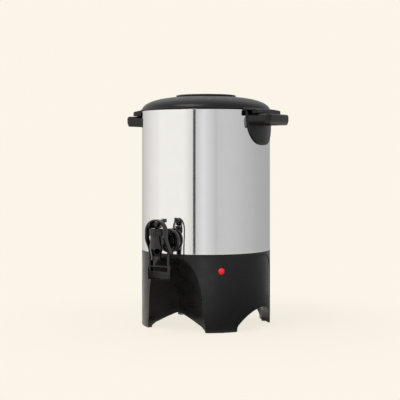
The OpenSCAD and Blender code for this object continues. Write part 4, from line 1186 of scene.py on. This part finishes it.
class URN_OT_studio(Undoable, bpy.types.Operator):
    """Camera, floor, cards and lights"""
    bl_idname = "urn.studio"
    bl_label = "Studio"

    def execute(self, context):
        sizes, colours = context.scene.urn_sizes, context.scene.urn_colours
        make_camera(sizes)
        make_floor(colours)
        make_world(colours)
        context.scene.view_settings.view_transform = "Standard"
        white = card_material("card_glow", linear("#ffffff"))
        warm = card_material("card_glow_warm", linear("#fffcf7"))
        for name, stops in CARDS.items():
            glows = [(a, steel_glow(grey)) for a, grey in stops]
            card(name, glows, CARD_R, CARD_LOW, CARD_HIGH, warm if name == "key_card" else white, sizes)
        low = [card(name, stops, LOW_R, 0, LOW_TOP, white, sizes) for name, stops in LOW_CARDS.items()]
        # Black card seen only in reflections: painted shade in the hollow under the tap
        low.append(card("low_flag", [(a, 0.0) for a in PAINTED_SHADE_FLAG], FLAG_R, 0, FLAG_TOP, white, sizes))
        for name, ends, r_in, r_out, glow in SHEETS:
            low.append(floor_sheet(name, *ends, r_in, r_out, glow, white, sizes))
        for made in low:
            made.visible_diffuse = made.visible_transmission = False
        ceiling(white, sizes)
        soft_light("overhead_softbox", sizes)
        return {"FINISHED"}


class URN_OT_tank(Undoable, bpy.types.Operator):
    """Polished steel tank with its rolled rim"""
    bl_idname = "urn.tank"
    bl_label = "Tank"

    def execute(self, context):
        wall_y = TAP_REACH - TANK_R
        hole = along_y(rod(TANK_HOLE_R, wall_y - 5, wall_y + 8, 64), TAP_Z)
        made = cut(mesh_object("tank_wall", tank_shell()), at_tap(hole))
        settle(made, "stainless_polished", "urn", "polished_steel", "tank", crease=30)
        return {"FINISHED"}


class URN_OT_base(Undoable, bpy.types.Operator):
    """Base housing with its feet, arches, panels and the hollow under the tap"""
    bl_idname = "urn.base"
    bl_label = "Base housing"

    def execute(self, context):
        made = base_housing(context.scene.urn_sizes)
        settle(made, "polypropylene_satin", "urn", "satin_plastic", "base_housing", crease=50)
        return {"FINISHED"}


class URN_OT_lamp(Undoable, bpy.types.Operator):
    """Red lens of the indicator lamp"""
    bl_idname = "urn.lamp"
    bl_label = "Indicator lens"

    def execute(self, context):
        made = mesh_object("lamp_lens", indicator_lens(context.scene.urn_sizes))
        settle(made, "polycarbonate_red", "urn", "red_lens", "indicator_lens")
        return {"FINISHED"}


class URN_OT_handles(Undoable, bpy.types.Operator):
    """The two handles, each a shield plate with a ledge grip"""
    bl_idname = "urn.handles"
    bl_label = "Handles"

    def execute(self, context):
        middle = Matrix.Translation((0, AXIS_Y * MM, 0))
        for name, node, turn in (("grip_right", "handle_right", 0), ("grip_left", "handle_left", pi)):
            made = handle(context.scene.urn_sizes)
            made.name = name
            made.data.transform(middle @ Matrix.Rotation(turn, 4, "Z") @ middle.inverted())
            settle(made, "polypropylene_satin", "urn", "satin_plastic", node)
        return {"FINISHED"}


class URN_OT_lid(Undoable, bpy.types.Operator):
    """Domed lid with its ears, and the finger grip in its well"""
    bl_idname = "urn.lid"
    bl_label = "Lid"

    def execute(self, context):
        sizes = context.scene.urn_sizes
        settle(lid(sizes), "polypropylene_satin", "lid", "satin_plastic", "lid")
        settle(lid_grip(sizes), "abs_gloss", "lid", "gloss_plastic", "lid_grip")
        return {"FINISHED"}


class URN_OT_tap(Undoable, bpy.types.Operator):
    """Tap body, flange nut, bonnet and lever"""
    bl_idname = "urn.tap"
    bl_label = "Tap"

    def execute(self, context):
        settle(tap_body(), "acetal_semigloss", "urn", "tap_plastic", "tap_body")
        settle(mesh_object("tap_plug", bore_shade_plug()), "ebonite_matt", "urn", "tap_plastic")
        for name, solid, node in (("tap_flange", flange_nut(), "tap_flange_nut"),
                                  ("tap_ring_nut", tap_bonnet(), "tap_bonnet")):
            settle(mesh_object(name, solid), "acetal_semigloss", "urn", "tap_plastic", node)
        settle(tap_lever(), "acetal_semigloss", "tap_lever", "tap_plastic", "tap_lever")
        return {"FINISHED"}


class URN_OT_carried(Undoable, bpy.types.Operator):
    """Materials of the frame's own pieces that stay as they are"""
    bl_idname = "urn.carried"
    bl_label = "Carried pieces"

    def execute(self, context):
        for material, nodes in CARRIED.items():
            for node in nodes:
                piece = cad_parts[node]
                if not piece.material_slots:
                    piece.data.materials.append(None)
                for place in piece.material_slots:
                    place.material = finish_of(material)
        return {"FINISHED"}


OPERATORS = (URN_OT_studio, URN_OT_tank, URN_OT_base, URN_OT_lamp, URN_OT_handles, URN_OT_lid,
             URN_OT_tap, URN_OT_carried)


class URN_PT_panel(bpy.types.Panel):
    """Lists the urn's pieces"""
    bl_idname = "URN_PT_panel"
    bl_label = "Coffee urn"
    bl_space_type = "VIEW_3D"
    bl_region_type = "UI"
    bl_category = "Urn"

    def draw(self, context):
        for group in (context.scene.urn_sizes, context.scene.urn_colours):
            for key in type(group).__annotations__:
                self.layout.prop(group, key)
        for operator in OPERATORS:
            self.layout.operator(operator.bl_idname)


CLASSES = (UrnSizes, UrnColours, *OPERATORS, URN_PT_panel)


def register():
    for item in CLASSES:
        bpy.utils.register_class(item)
    bpy.types.Scene.urn_sizes = bpy.props.PointerProperty(type=UrnSizes)
    bpy.types.Scene.urn_colours = bpy.props.PointerProperty(type=UrnColours)


def unregister():
    del bpy.types.Scene.urn_colours
    del bpy.types.Scene.urn_sizes
    for item in reversed(CLASSES):
        bpy.utils.unregister_class(item)


def main():
    register()
    for operator in OPERATORS:
        group, name = operator.bl_idname.split(".")
        getattr(getattr(bpy.ops, group), name)()


if __name__ == "__main__":
    main()
